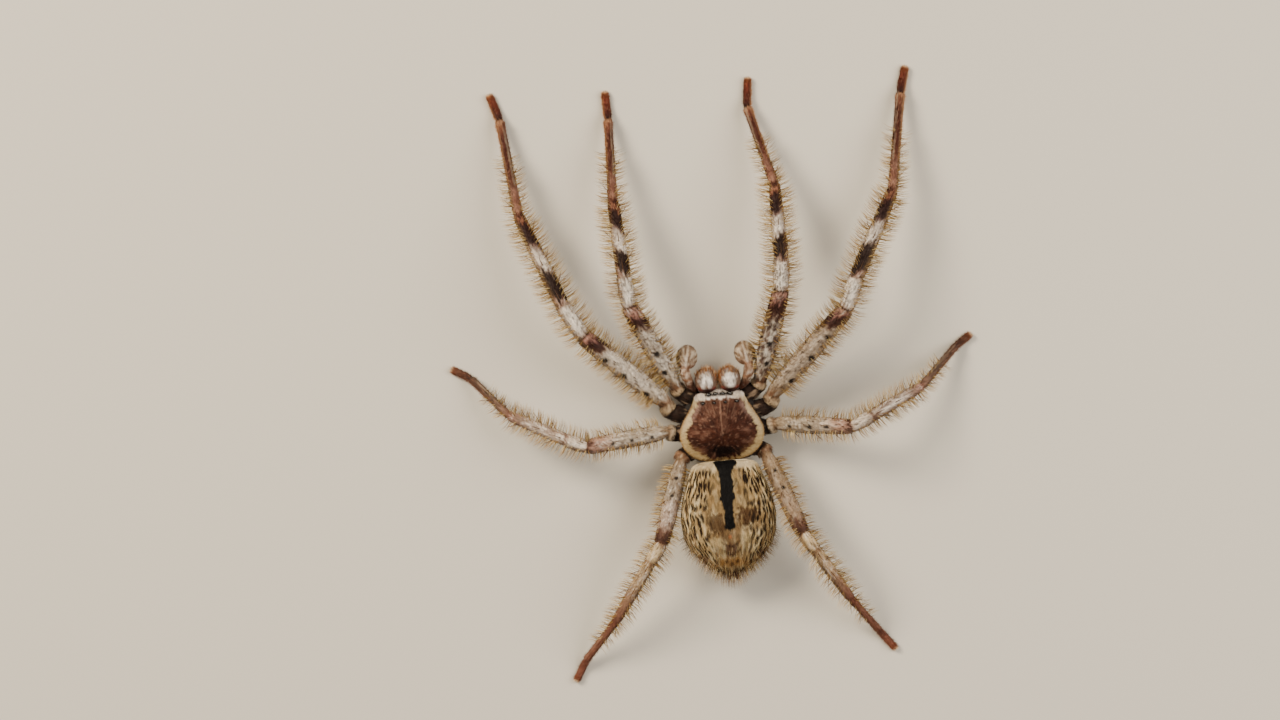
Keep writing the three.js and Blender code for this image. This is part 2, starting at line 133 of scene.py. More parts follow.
# %% Colours and nodes
def linear(hex_colour):
    """The linear red, green and blue of an sRGB hex colour."""
    shares = np.array([int(hex_colour[i : i + 2], 16) for i in (1, 3, 5)]) / 255.0
    return np.where(shares <= 0.04045, shares / 12.92, ((shares + 0.055) / 1.055) ** 2.4)


def add_node(tree, kind, links=(), **settings):
    """A node of a kind. Settings are sockets or properties, and links are (socket, output) pairs."""
    made = tree.nodes.new(kind)
    for name, value in settings.items():
        if hasattr(made, name):
            setattr(made, name, value)
        else:
            made.inputs[name.replace("_", " ")].default_value = value
    for socket, output in links:
        tree.links.new(output, made.inputs[socket])
    return made


print("mid grey, #808080, in linear light:", np.round(linear("#808080"), 3))


# %% Placing a finished piece
def ready(name, shape, material, replaced=(), smooth=True):
    """Turns a bmesh in the spider's own millimetres into a finished piece that rides on the root body."""
    bmesh.ops.transform(shape, matrix=TO_FRAME, verts=shape.verts)
    mesh = bpy.data.meshes.new(name)
    shape.to_mesh(mesh)
    shape.free()
    return placed(name, mesh, material, replaced, smooth)


def placed(name, mesh, material, replaced=(), smooth=True):
    """Gives a mesh in the frame its material and body. Replaced names the solids that it covers."""
    mesh.materials.append(material)
    mesh.polygons.foreach_set("use_smooth", [smooth] * len(mesh.polygons))
    made = bpy.data.objects.new(name, mesh)
    bpy.context.scene.collection.objects.link(made)
    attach(made, "root")
    if replaced:
        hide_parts(*replaced)
    return made


def points_of(mesh):
    """The vertices of a finished mesh, in the spider's own millimetres."""
    flat = np.empty(len(mesh.vertices) * 3)
    mesh.vertices.foreach_get("co", flat)
    return flat.reshape(-1, 3) / MM - np.array(ORIGIN)


def store(mesh, name, values):
    """Stores a colour or a vector for each vertex."""
    kind = "FLOAT_COLOR" if name == "marking" else "FLOAT_VECTOR"
    layer = mesh.attributes.new(name, kind, "POINT")
    if kind == "FLOAT_COLOR":
        values = np.concatenate([values, np.ones((len(values), 1))], axis=1)
        layer.data.foreach_set("color", values.astype(np.float32).ravel())
    else:
        layer.data.foreach_set("vector", values.astype(np.float32).ravel())


def dress(made, colours, flow):
    """Stores the markings of a finished skin, and the way of its nap."""
    store(made.data, "marking", colours)
    store(made.data, "flow", flow)


# %% Soft steps and washes
def step(low, high, value):
    """A soft step from 0 at low to 1 at high."""
    share = np.clip((value - low) / (high - low), 0.0, 1.0)
    return share * share * (3.0 - 2.0 * share)


def band(value, start, end, soft):
    """1 between start and end, with soft edges."""
    return step(start - soft, start + soft, value) * (1.0 - step(end - soft, end + soft, value))


def wash(colours, colour, share):
    """Lays one colour over others, with a share for each."""
    return colours + (linear(colour) - colours) * np.clip(share, 0.0, 1.0)[:, None]


print("a soft step, at quarters of its width:", [float(step(0.0, 1.0, share / 4)) for share in range(5)])


# %% [markdown]
# Markings made of hair are ragged and streaky. Two fields give that: a soft noise, made of random values on
# a lattice that are blended between its corners, and a scatter of short dashes, one in each lattice cell.


# %% Noise and dashes
CELL_PRIMES = (73856093, 19349663, 83492791)  # large primes, which send neighbouring cells far apart
MIXERS = (1274126177, 2146121005)  # odd numbers that stir the bits of a cell's key
SEED_SHIFT = 31.7  # cells from the noise of one seed to that of the next


def chance(*cells):
    """A random number from 0 to 1 that is always the same for a cell."""
    key = sum(cell.astype(np.int64) * prime for cell, prime in zip(cells, CELL_PRIMES))
    key = (key ^ (key >> 13)) * MIXERS[0] & 0x7FFFFFFF
    key = (key ^ (key >> 15)) * MIXERS[1] & 0x7FFFFFFF
    return ((key ^ (key >> 16)) & 0xFFFF) / 65535.0


def grain(size, *axes, seed=0):
    """Soft noise from 0 to 1 with spots about a given size across, in the axes' own units."""
    places = [np.asarray(axis) / size + SEED_SHIFT * seed for axis in axes]
    cells = [np.floor(place) for place in places]
    parts = [(place - cell) ** 2 * (3.0 - 2.0 * (place - cell)) for place, cell in zip(places, cells)]
    total = 0.0
    for corner in range(2 ** len(axes)):
        ups = [(corner >> n) & 1 for n in range(len(axes))]
        share = np.prod([part if up else 1.0 - part for part, up in zip(parts, ups)], axis=0)
        total = total + share * chance(*(cell + up for cell, up in zip(cells, ups)))
    return total


def dashes(across, along, wide, long, thick, seed=0, filled=1.0):
    """From 0 to 1 under a scatter of dashes that lie along. Each cell, wide by long, may hold one."""
    column, row = np.floor(across / wide), np.floor(along / long)
    darkest = np.zeros(len(across))
    for i in (-1, 0, 1):
        for j in (-1, 0, 1):
            cell = (column + i, row + j)
            draws = [chance(*cell, np.full(len(across), seed + k)) for k in range(5)]
            place_across, place_along, size, slant, present = draws
            off_along = along - (cell[1] + 0.1 + 0.8 * place_along) * long
            off_across = across - (cell[0] + 0.15 + 0.7 * place_across) * wide
            off_across = off_across + (slant - 0.5) * 0.3 * off_along
            reach = np.hypot(off_across / thick, off_along / (long * (0.3 + 0.4 * size)))
            darkest = np.maximum(darkest, (1.0 - step(0.55, 1.15, reach)) * (present < filled))
    return darkest


sample = grain(1.0, np.arange(0.0, 10.0, 0.1))
print("noise along 10 mm: from", round(sample.min(), 2), "to", round(sample.max(), 2))


# %% [markdown]
# ## The hairy shell
# A spider's shell is chitin, a stiff brown or cream cuticle about as glossy as a fingernail, under a nap of
# scale-like hair that carries the colours. The nap scatters light, so the surface looks matt with a soft
# sheen at its edges. The markings are stored on each piece as a colour for each point, and the material adds
# what is too fine for that: specks a third of a millimetre wide, and the grain of the nap as a bump. The
# grain runs along an attribute named flow, which measures each leg as if it were straight.


# %% A surface in its stored colours
def new_surface(name):
    """A new material, its node tree and its Principled node."""
    made = bpy.data.materials.new(name)
    made.use_nodes = True
    return made, made.node_tree, made.node_tree.nodes["Principled BSDF"]


def set_sockets(surface, **sockets):
    """Sets values that are the same all over, on the surface's own sockets."""
    for name, value in sockets.items():
        surface.inputs[name.replace("_", " ")].default_value = value


def tone_marking(tree, surface, value, darkest, brightest, low=0.0, high=1.0):
    """Colours the surface with its stored marking, times a tone that follows a value from low to high."""
    marking = add_node(tree, "ShaderNodeAttribute", attribute_name="marking")
    tone = add_node(
        tree, "ShaderNodeMapRange", [("Value", value)],
        From_Min=low, From_Max=high, To_Min=darkest, To_Max=brightest,
    )
    coloured = add_node(
        tree, "ShaderNodeVectorMath",
        [(0, marking.outputs["Color"]), ("Scale", tone.outputs["Result"])], operation="SCALE",
    )
    tree.links.new(coloured.outputs[0], surface.inputs["Base Color"])


# %% Shell materials
SPECK_SIZE = 0.35  # mm
GRAIN_WIDTH = 0.2  # mm, coarser than the real nap, which is too fine to show in the render
GRAIN_STRETCH = 5.0  # how many times longer than wide the grain is
NAP_IOR = 1.5  # waxy hair over chitin, a little below bare chitin
NAP_GLOSS = 0.22  # the nap hides most of the shell's gloss


def shell(name, roughness, speck, nap, sheen=0.06):
    """Cuticle under a nap: how much its colour varies, and how deep its grain is in millimetres."""
    made, tree, surface = new_surface(name)
    place = add_node(tree, "ShaderNodeTexCoord")
    specks = add_node(
        tree, "ShaderNodeTexNoise", [("Vector", place.outputs["Object"])],
        Scale=1.0 / (SPECK_SIZE * MM), Detail=3.0,
    )
    tone_marking(tree, surface, specks.outputs["Fac"], 1.0 - speck, 1.0 + speck, 0.3, 0.7)
    # The flow is in millimetres, so the grain's scale is in repeats a millimetre.
    flow = add_node(tree, "ShaderNodeAttribute", attribute_name="flow")
    stretched = add_node(tree, "ShaderNodeVectorMath", [(0, flow.outputs["Vector"])], operation="MULTIPLY")
    stretched.inputs[1].default_value = (1.0 / GRAIN_STRETCH, 1.0, 1.0)
    hairs = add_node(
        tree, "ShaderNodeTexNoise", [("Vector", stretched.outputs[0])], Scale=1.0 / GRAIN_WIDTH, Detail=2.0
    )
    relief = add_node(
        tree, "ShaderNodeBump", [("Height", hairs.outputs["Fac"])], Distance=nap * MM, Strength=1.0
    )
    tree.links.new(relief.outputs["Normal"], surface.inputs["Normal"])
    set_sockets(surface, Roughness=roughness, IOR=NAP_IOR, Specular_IOR_Level=NAP_GLOSS)
    set_sockets(surface, Sheen_Weight=sheen, Sheen_Roughness=0.5)
    return made


# The legs' nap is short and thin: matt, and a little glossy between the hairs.
leg_shell = shell("cuticle under a short grey nap", roughness=0.62, speck=0.16, nap=0.07)
# The carapace is harder and its nap denser: matt, with a soft light on its highest part.
carapace_shell = shell("cuticle of the carapace with radial nap", roughness=0.6, speck=0.14, nap=0.08)
# The abdomen's skin is soft and has no gloss of its own, so it is the mattest.
abdomen_shell = shell("soft skin under a cream nap", roughness=0.7, speck=0.12, nap=0.08)
# The jaws are the hardest plates and nearly bare, so they catch a small highlight.
jaw_shell = shell("hard dark cuticle of the jaws", roughness=0.42, speck=0.12, nap=0.05, sheen=0.03)
print("shell materials:", [m.name for m in bpy.data.materials])

# %% Hair materials
HAIR_IOR = 1.55  # hair of solid chitin


def bristle(name, roughness, root_tone, gloss):
    """Hair in its stored colour, which darkens to a tone at its root."""
    made, tree, surface = new_surface(name)
    rise = add_node(tree, "ShaderNodeAttribute", attribute_name="rise")
    tone_marking(tree, surface, rise.outputs["Fac"], root_tone, 1.0)
    set_sockets(surface, Roughness=roughness, IOR=HAIR_IOR, Specular_IOR_Level=gloss)
    return made


# Flat hair is feathered, so it scatters light and only carries colour. Bristles are smooth, and glint.
coat_hair = bristle("short flat hair", roughness=0.7, root_tone=0.72, gloss=0.12)
long_hair = bristle("long stiff bristles", roughness=0.45, root_tone=0.7, gloss=0.4)
print("hair materials:", coat_hair.name, "and", long_hair.name)

# %% [markdown]
# The eyes, fangs and claws are bare cuticle, smooth and almost black, and shine as wet lacquer does.


# %% Bare cuticle
CLOUD_SIZE = 0.5  # mm
CHITIN_IOR = 1.56


def lacquer(name, colour, roughness):
    """Bare cuticle in a colour that clouds a little, under a clear outer layer."""
    made, tree, surface = new_surface(name)
    place = add_node(tree, "ShaderNodeTexCoord")
    cloud = add_node(
        tree, "ShaderNodeTexNoise", [("Vector", place.outputs["Object"])], Scale=1.0 / (CLOUD_SIZE * MM)
    )
    ramp = add_node(tree, "ShaderNodeValToRGB", [("Fac", cloud.outputs["Fac"])])
    for element, tone in zip(ramp.color_ramp.elements, (0.6, 1.5)):
        element.color = (*(linear(colour) * tone), 1.0)
    tree.links.new(ramp.outputs["Color"], surface.inputs["Base Color"])
    set_sockets(surface, Roughness=roughness, IOR=CHITIN_IOR, Coat_Weight=0.6, Coat_Roughness=0.08)
    return made


# The lens over an eye is clear and smooth, so the eye is a black bead with one sharp highlight.
eye_glass = lacquer("clear cuticle over a black eye", "#0a0808", roughness=0.12)
# Fangs and claws are worn a little, so their highlights are softer.
fang_black = lacquer("hard black cuticle of the fangs and claws", "#1c0e0b", roughness=0.25)
print("bare cuticle:", eye_glass.name, "and", fang_black.name)

# %% [markdown]
# ## Round lengths
# Legs, palps, jaws, fangs and spinnerets are all round lengths that swell and narrow. A modeller makes one
# by extruding a circle along a path and scaling it at each stop, and the next function does that: the ring
# of edges is extruded, and the new ring is moved from the last stop's matrix to the next one's. The path is
# measured out first, in even steps, and rounded where two lengths meet.


# %% Extruding a circle along stops
def ring_matrix(stop):
    """The matrix that takes a unit circle to a stop: its middle, its three ways and its radius."""
    middle, along, across, over, radius = stop
    turned = Matrix((across * radius, over * radius, along)).transposed().to_4x4()
    return Matrix.Translation(middle) @ turned


def place_in_order(face):
    """A number for sorting faces, from the first and the last of a face's corners."""
    corners = [vertex.index for vertex in face.verts]
    return min(corners) * 1e5 + max(corners)


def extrude_along(stops, sides):
    """A round length through stops, closed at both ends, with a ring of edges at each stop."""
    shape = bmesh.new()
    matrices = [ring_matrix(stop) for stop in stops]
    bmesh.ops.create_circle(shape, segments=sides, radius=1.0, matrix=matrices[0])
    ring = list(shape.edges)
    bmesh.ops.contextual_create(shape, geom=ring)
    for before, after in zip(matrices, matrices[1:]):
        grown = bmesh.ops.extrude_edge_only(shape, edges=ring)["geom"]
        ring = [item for item in grown if isinstance(item, bmesh.types.BMEdge)]
        corners = [item for item in grown if isinstance(item, bmesh.types.BMVert)]
        bmesh.ops.transform(shape, matrix=after @ before.inverted(), verts=corners)
    bmesh.ops.contextual_create(shape, geom=ring)
    bmesh.ops.recalc_face_normals(shape, faces=shape.faces)
    shape.verts.index_update()
    shape.faces.sort(key=place_in_order)  # extruding leaves them in an order that changes from run to run
    return shape


# %% Even stops on a path
UP = np.array([0.0, 0.0, 1.0])


def unit(vectors):
    """Vectors brought to a length of 1."""
    return vectors / np.maximum(np.linalg.norm(vectors, axis=-1, keepdims=True), 1e-9)


def measured(corners, radii_of, spacing, rounding, side=1.0):
    """Stops in even steps along a path through corners. radii_of(length, share) gives each one's radius."""
    corners = np.array(corners, dtype=float)
    middles, lengths, shares = [], [], []
    for n, (start, end) in enumerate(zip(corners, corners[1:])):
        count = max(2, round(np.linalg.norm(end - start) / spacing))
        share = np.arange(count) / count
        middles.append(start + (end - start) * share[:, None])
        lengths.append(np.full(count, n))
        shares.append(share)
    middles = np.concatenate([*middles, corners[-1:]])
    lengths = np.concatenate([*lengths, [len(corners) - 2]])
    shares = np.concatenate([*shares, [1.0]])
    for _ in range(rounding):
        middles[1:-1] = (middles[:-2] + 2.0 * middles[1:-1] + middles[2:]) / 4.0
    along = unit(np.gradient(middles, axis=0))
    across = -side * unit(np.cross(along, UP))  # the side that faces forwards when the leg is held sideways
    over = unit(np.cross(across, along))
    over *= np.where(over[:, 2] < 0.0, -1.0, 1.0)[:, None]
    radius = np.array([radii_of(n, s) for n, s in zip(lengths, shares)])
    far = np.concatenate([[0.0], np.cumsum(np.linalg.norm(np.diff(middles, axis=0), axis=1))])
    return {
        "middle": middles, "along": along, "across": across, "over": over, "radius": radius,
        "length": lengths, "share": shares, "far": far,
    }


def stops_of(path):
    """The path as stops for the circle, right-handed so that the extruded rings never turn over."""
    stops = []
    for n in range(len(path["far"])):
        along, over = Vector(path["along"][n]), Vector(path["over"][n])
        stops.append((Vector(path["middle"][n]), along, over.cross(along), over, path["radius"][n]))
    return stops


# %% [markdown]
# ## The pose
# Each leg has seven lengths: coxa, trochanter, femur, patella, tibia, metatarsus and tarsus. The pose is a
# heading over the floor and a run for each of the last five, and the heights of their joints, the same named
# values that the solids were made from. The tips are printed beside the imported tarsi, which they must meet.

# %% Pose of the legs
COXA, TROCHANTER, FEMUR, PATELLA, TIBIA, METATARSUS, FOOT, SOLE = range(8)
SIDES = {"left": -1.0, "right": 1.0}
SEGMENTS = ("hip", "femur", "tibia", "metatarsus", "tarsus")  # the solids of each leg
# Of each pair: the angle of its root round the sternum in degrees from the front, where its coxa and its
# trochanter end, and the heights at which trochanter, femur, patella, tibia and metatarsus end.
PAIRS = [
    {"root": 33, "knob": (6.85, 6.7), "hip": (7.4, 7.9), "heights": (5.3, 12.4, 13.0, 7.2, 1.7)},
    {"root": 68, "knob": (8.9, 3.4), "hip": (9.3, 5.2), "heights": (5.3, 11.4, 11.8, 6.4, 1.6)},
    {"root": 104, "knob": (8.4, -0.45), "hip": (9.5, 0.1), "heights": (5.3, 10.0, 10.2, 5.2, 1.5)},
    {"root": 143, "knob": (7.1, -4.25), "hip": (7.5, -5.2), "heights": (5.3, 10.2, 10.3, 5.6, 1.5)},
]
# Of each leg's femur, patella, tibia, metatarsus and tarsus: its heading over the floor, in degrees outwards
# from straight ahead, and its run over the floor.
POSE = {
    "left": [
        {"headings": (26, 5, 4, -1, 2), "runs": (16.1, 5.5, 13.1, 14.7, 4.9)},
        {"headings": (47, 29, 22, 7, 18), "runs": (18.4, 6.7, 17.4, 17.3, 4.9)},
        {"headings": (96, 67, 63, 42, 60), "runs": (14.3, 3.9, 10.8, 9.4, 3.8)},
        {"headings": (162, 144, 146, 139, 150), "runs": (14.7, 3.7, 12.2, 8.8, 4.1)},
    ],
    "right": [
        {"headings": (17, 5, 0, -14, 6), "runs": (15.9, 5.4, 13.3, 14.5, 5.2)},
        {"headings": (45, 22, 28, 10, 15), "runs": (19.5, 5.9, 16.6, 17.4, 4.8)},
        {"headings": (97, 66, 65, 46, 56), "runs": (13.1, 4.0, 10.4, 9.4, 3.4)},
        {"headings": (160, 148, 148, 143, 142), "runs": (15.0, 3.5, 10.8, 7.8, 4.5)},
    ],
}
STERNUM = {"half_width": 2.5, "half_length": 4.1, "middle": 0.5}
ROOT_INSET = 0.7  # how far inside the sternum's edge the legs start
COXA_HEIGHT, KNOB_HEIGHT = 4.25, 4.6
SOLE_START, SOLE_HEIGHT = 0.34, 0.5  # the foot lies level from this share of it on, its middle this high


def joints_of(pair, side_name):
    """The joints of one leg, from the coxa's root to the foot's tip."""
    side, plan, pose = SIDES[side_name], PAIRS[pair], POSE[side_name][pair]
    turn = math.radians(plan["root"])
    root = (
        side * (STERNUM["half_width"] - ROOT_INSET) * math.sin(turn),
        STERNUM["middle"] + (STERNUM["half_length"] - ROOT_INSET) * math.cos(turn),
        COXA_HEIGHT,
    )
    joints = [root, (side * plan["knob"][0], plan["knob"][1], KNOB_HEIGHT)]
    joints.append((side * plan["hip"][0], plan["hip"][1], plan["heights"][0]))
    for heading, run, height in zip(pose["headings"], pose["runs"], (*plan["heights"][1:], SOLE_HEIGHT)):
        x, y, _ = joints[-1]
        turn = math.radians(heading)
        joints.append((x + side * math.sin(turn) * run, y + math.cos(turn) * run, height))
    bend = np.array(joints[-2]) * (1.0 - SOLE_START) + np.array(joints[-1]) * SOLE_START
    bend[2] = SOLE_HEIGHT
    return [*joints[:-1], tuple(bend), joints[-1]]


print("knee of the first left leg, mm:", np.round(joints_of(0, "left")[FEMUR + 1], 1))

# %% Outline of each length
# How far along each length, and how thick there as a share of its greatest radius. Real joints are narrow,
# with a lip on either side, so each length begins and ends with a pinch.
OUTLINES = {
    "femur": [
        (0, 0.6), (0.03, 0.7), (0.12, 0.88), (0.4, 1), (0.75, 0.93), (0.93, 0.86), (0.98, 0.8), (1, 0.68),
    ],
    "patella": [(0, 0.8), (0.1, 0.94), (0.4, 1), (0.88, 0.96), (0.96, 0.86), (1, 0.8)],
    "tibia": [(0, 0.9), (0.03, 0.98), (0.3, 1), (0.7, 0.88), (0.95, 0.78), (1, 0.62)],
    "metatarsus": [(0, 0.9), (0.04, 1.02), (0.4, 0.88), (0.88, 0.88), (0.96, 1.0), (1, 0.8)],
    "tarsus": [(0, 0.74), (0.08, 0.94), (0.34, 1), (0.8, 0.88), (0.93, 0.74), (1, 0.45)],
}
OUTLINE_OF = (None, None, "femur", "patella", "tibia", "metatarsus", "tarsus", "tarsus")
# The greatest radius of each pair's femur, patella, tibia, metatarsus and tarsus, in millimetres.
RADII = [
    (1.65, 1.35, 1.2, 0.78, 0.66),
    (1.75, 1.4, 1.25, 0.8, 0.68),
    (1.5, 1.2, 1.05, 0.66, 0.58),
    (1.5, 1.15, 1.0, 0.64, 0.58),
]
# The hip's two lengths are the same on every leg, so these are in millimetres.
COXA_RADII = ((0, 0.45, 0.8, 0.93, 1), (1.3, 1.6, 1.5, 1.25, 1.35))
TROCHANTER_RADII = ((0, 0.4, 1), (1.35, 1.5, 1.1))


def leg_radius(pair, length, share):
    """The radius of a leg at a share of one of its lengths."""
    if length in (COXA, TROCHANTER):
        return float(np.interp(share, *(COXA_RADII if length == COXA else TROCHANTER_RADII)))
    if length >= FOOT:
        share = share * SOLE_START if length == FOOT else SOLE_START + share * (1.0 - SOLE_START)
    outline = OUTLINES[OUTLINE_OF[length]]
    greatest = RADII[pair][min(length, FOOT) - FEMUR]
    return greatest * float(np.interp(share, *zip(*outline)))


# %% Paths of the legs
RING_STEP = 0.35  # mm between the rings of a leg
LEG_ROUNDING = 4  # how many times the corners of its path are evened out
legs = {}
for side_name, side in SIDES.items():
    for pair in range(4):
        name = f"leg_{pair + 1}_{side_name}"
        joints = joints_of(pair, side_name)
        path = measured(joints, lambda n, s, p=pair: leg_radius(p, n, s), RING_STEP, LEG_ROUNDING, side)
        path["pair"], path["side"] = pair, side
        legs[name] = path
        low, high = (Vector(corner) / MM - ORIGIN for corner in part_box(f"{name}_tarsus"))
        print(f"{name}: tip {joints[-1][0]:.1f}, {joints[-1][1]:.1f}; "
              f"packed tarsus {low.x:.1f} to {high.x:.1f}, {low.y:.1f} to {high.y:.1f}")

# %% [markdown]
# ## Markings of the legs
# The front two pairs are banded: a grey-white femur with black spots and a dark ring near the knee, a white
# patella, a tibia that goes dark, white, dark, and a red-brown foot. The back two pairs are paler and
# plainer. Each length has a row of colours along it, read where the picture shows the leg, and dark spots
# where the spines stand. A noise field makes the edges of the bands ragged, as bands made of hair are.

# %% Colours along the front legs
# In each row: how far along the length, and the colour there.
FRONT_BANDS = {
    # The coxae are near-black: dark brown cuticle, darkened further as painted shadow in the gaps under the
    # carapace.
    COXA: [(0, "#0a0605"), (0.6, "#120b08"), (0.82, "#2a1c15"), (0.92, "#1e130e"), (1, "#080504")],
    TROCHANTER: [(0, "#24150f"), (0.35, "#b09a7c"), (0.75, "#9a8268"), (1, "#2c1a13")],
    FEMUR: [
        (0, "#7d5a42"), (0.05, "#a08a74"), (0.13, "#bdb09f"), (0.3, "#cabfb2"), (0.66, "#c6bbad"),
        (0.7, "#a08c7c"), (0.73, "#4a2d24"), (0.77, "#2e1914"), (0.83, "#4c2c28"), (0.87, "#a3766a"),
        (0.95, "#b88f80"), (1, "#33190f"),
    ],
    PATELLA: [
        (0, "#4a2e24"), (0.06, "#b9a597"), (0.18, "#e8e1d8"), (0.84, "#e4dcd2"), (0.93, "#b8a290"),
        (0.965, "#5c3c30"), (1, "#170c0a"),
    ],
    TIBIA: [
        (0, "#4a3028"), (0.03, "#c0a698"), (0.065, "#7a5a4e"), (0.09, "#22130f"), (0.33, "#271713"),
        (0.37, "#8b7a70"), (0.42, "#e0d7ce"), (0.6, "#c8bcb2"), (0.66, "#6a514a"), (0.71, "#2a1715"),
        (0.91, "#2e1714"), (0.95, "#7c4c38"), (0.98, "#a5745a"), (1, "#4a281e"),
    ],
    METATARSUS: [
        (0, "#5e3426"), (0.05, "#a37a66"), (0.14, "#7c5242"), (0.24, "#8e6858"), (0.33, "#643c2e"),
        (0.45, "#50281d"), (0.8, "#4e251b"), (0.93, "#7c4c38"), (0.97, "#b98a68"), (1, "#241009"),
    ],
    FOOT: [(0, "#2a130e"), (0.5, "#4a2018"), (1, "#5c2a1d")],
    SOLE: [(0, "#5c2a1d"), (0.6, "#743523"), (0.86, "#8c4c30"), (1, "#cf9a68")],
}

# %% Colours along the back legs
THIRD_BANDS = {
    COXA: FRONT_BANDS[COXA],
    TROCHANTER: [(0, "#2c1c14"), (0.35, "#bfae96"), (0.75, "#a8947c"), (1, "#3c261c")],
    FEMUR: [
        (0, "#84694f"), (0.06, "#a3937d"), (0.45, "#ab9f8d"), (0.6, "#b2a494"), (0.64, "#d8cdbd"),
        (0.74, "#bda492"), (0.8, "#b08e7a"), (0.93, "#b58f80"), (1, "#42261c"),
    ],
    PATELLA: [
        (0, "#5e3c30"), (0.08, "#c4ae9c"), (0.22, "#dbd0c2"), (0.85, "#d0c2b2"), (0.94, "#8a6a5a"),
        (1, "#24130f"),
    ],
    TIBIA: [
        (0, "#5c4236"), (0.06, "#a08a7a"), (0.25, "#a7958a"), (0.4, "#c2b4aa"), (0.62, "#c0b0a6"),
        (0.76, "#9c8275"), (0.93, "#a27f72"), (0.97, "#bd8a78"), (1, "#583226"),
    ],
    METATARSUS: [(0, "#7c5a4c"), (0.08, "#8a6c5c"), (0.4, "#5e4a3e"), (0.95, "#54392d"), (1, "#301812")],
    FOOT: [(0, "#38221a"), (1, "#553629")],
    SOLE: [(0, "#553629"), (0.75, "#6e4a3a"), (0.9, "#a07860"), (1, "#dbb090")],
}
FOURTH_BANDS = {
    COXA: FRONT_BANDS[COXA],
    TROCHANTER: [(0, "#2a1a12"), (0.35, "#86644a"), (0.75, "#7a5a44"), (1, "#3c2419")],
    FEMUR: [
        (0, "#7d644c"), (0.06, "#9a8a76"), (0.45, "#a09280"), (0.55, "#b8a698"), (0.8, "#b09a8c"),
        (0.87, "#5e3e30"), (1, "#382019"),
    ],
    PATELLA: [(0, "#523426"), (0.08, "#a88a6c"), (0.2, "#d6bf98"), (0.88, "#ccb48c"), (1, "#5e4430")],
    TIBIA: [
        (0, "#7c5f46"), (0.05, "#c4a984"), (0.4, "#bda080"), (0.6, "#a07e66"), (0.85, "#8a6250"),
        (1, "#744a3c"),
    ],
    METATARSUS: [(0, "#754838"), (0.3, "#8c5f4c"), (1, "#7a4a3a")],
    FOOT: [(0, "#6c4032"), (1, "#7e4c3c")],
    SOLE: [(0, "#804e3e"), (0.85, "#84503e"), (1, "#a8745c")],
}
BANDS = [FRONT_BANDS, FRONT_BANDS, THIRD_BANDS, FOURTH_BANDS]
print("colours along a leg of each pair:", [sum(len(row) for row in rows.values()) for rows in BANDS])


# %% Where a point is on a leg
POINTS_AT_ONCE = 4000  # so that the table of distances to the stops stays small
MM_A_RADIAN = 1.4  # round a leg, near enough for its markings


def leg_place(path, points):
    """For each point, the nearest stop of a leg, and its angle from the top, forwards, in radians."""
    nearest = np.empty(len(points), dtype=int)
    for start in range(0, len(points), POINTS_AT_ONCE):
        part = points[start : start + POINTS_AT_ONCE, None, :] - path["middle"][None]
        nearest[start : start + POINTS_AT_ONCE] = np.argmin(np.sum(part * part, axis=2), axis=1)
    off = points - path["middle"][nearest]
    ahead, above = (np.sum(off * path[key][nearest], axis=1) for key in ("across", "over"))
    return nearest, np.arctan2(ahead, above)


def leg_fields(path, nearest, angle):
    """What the markings of a leg are made from: where each point is, and the noise there."""
    seed = path["pair"] * 2 + (path["side"] > 0)
    far, ahead, above = path["far"][nearest], np.sin(angle), np.cos(angle)
    return SimpleNamespace(
        pair=path["pair"],
        right=path["side"] > 0,
        seed=seed,
        length=path["length"][nearest],
        share=path["share"][nearest],
        far=far,
        angle=angle,
        ahead=ahead,
        above=above,
        round_way=angle * MM_A_RADIAN,
        streaks=grain(1.0, far / 1.7, ahead * 4.5, above * 4.5, seed=seed),
        fine=grain(0.4, far, ahead * 1.5, above * 1.5, seed=seed + 20),
        pepper=grain(0.22, far, angle * MM_A_RADIAN, seed=seed + 50),
    )


# %% Bands and mottled hips
# How far the front pairs' bands lie from their rows, as a share of the length, and how much the bands of
# the second pair's tibia are drawn together.
FEMUR_SHIFT = (0.035, 0.1)
TIBIA_SHIFT = (0.06, 0.035)
TIBIA_SQUEEZE = (0.0, 0.05)


def band_slant(pair, number, share, ahead):
    """How far the bands of a length are moved. They also slant round the leg."""
    if pair > 1 or number not in (FEMUR, TIBIA):
        return 0.0
    if number == FEMUR:
        return 0.05 * ahead - FEMUR_SHIFT[pair] * step(0.45, 0.7, share)
    return 0.05 * ahead + TIBIA_SHIFT[pair] - TIBIA_SQUEEZE[pair] * band(share, 0.3, 0.5, 0.1)


def band_colours(at):
    """Each length's row of colours, with ragged edges."""
    ragged = (at.streaks - 0.5) * 0.13 + (at.fine - 0.5) * 0.05
    colours = np.zeros((len(at.share), 3))
    for number, row in BANDS[at.pair].items():
        mask = at.length == number
        slant = band_slant(at.pair, number, at.share[mask], at.ahead[mask])
        edge = np.clip(at.share[mask] + ragged[mask] * (number >= FEMUR) + slant, 0.0, 1.0)
        if number in (PATELLA, METATARSUS):
            edge = np.clip(at.share[mask] + ragged[mask] * 0.4, 0.0, 1.0)
        places = [place for place, _ in row]
        shades = np.array([linear(shade) for _, shade in row])
        for channel in range(3):
            colours[mask, channel] = np.interp(edge, places, shades[:, channel])
    return colours


def mottle_hips(colours, at):
    """Dark and cream mottling on the coxa and the trochanter."""
    knobs = at.length <= TROCHANTER
    colours = wash(colours, "#2a1811", knobs * (1.0 - step(0.25, 0.45, at.fine)) * 0.75)
    colours = wash(colours, "#c9b696", knobs * step(0.7, 0.88, at.fine) * (colours.mean(axis=1) > 0.1) * 0.7)
    coxa_end = (at.length == COXA) * (at.share > 0.6)
    return wash(colours, "#9a836c", coxa_end * step(0.66, 0.8, at.streaks) * 0.7)
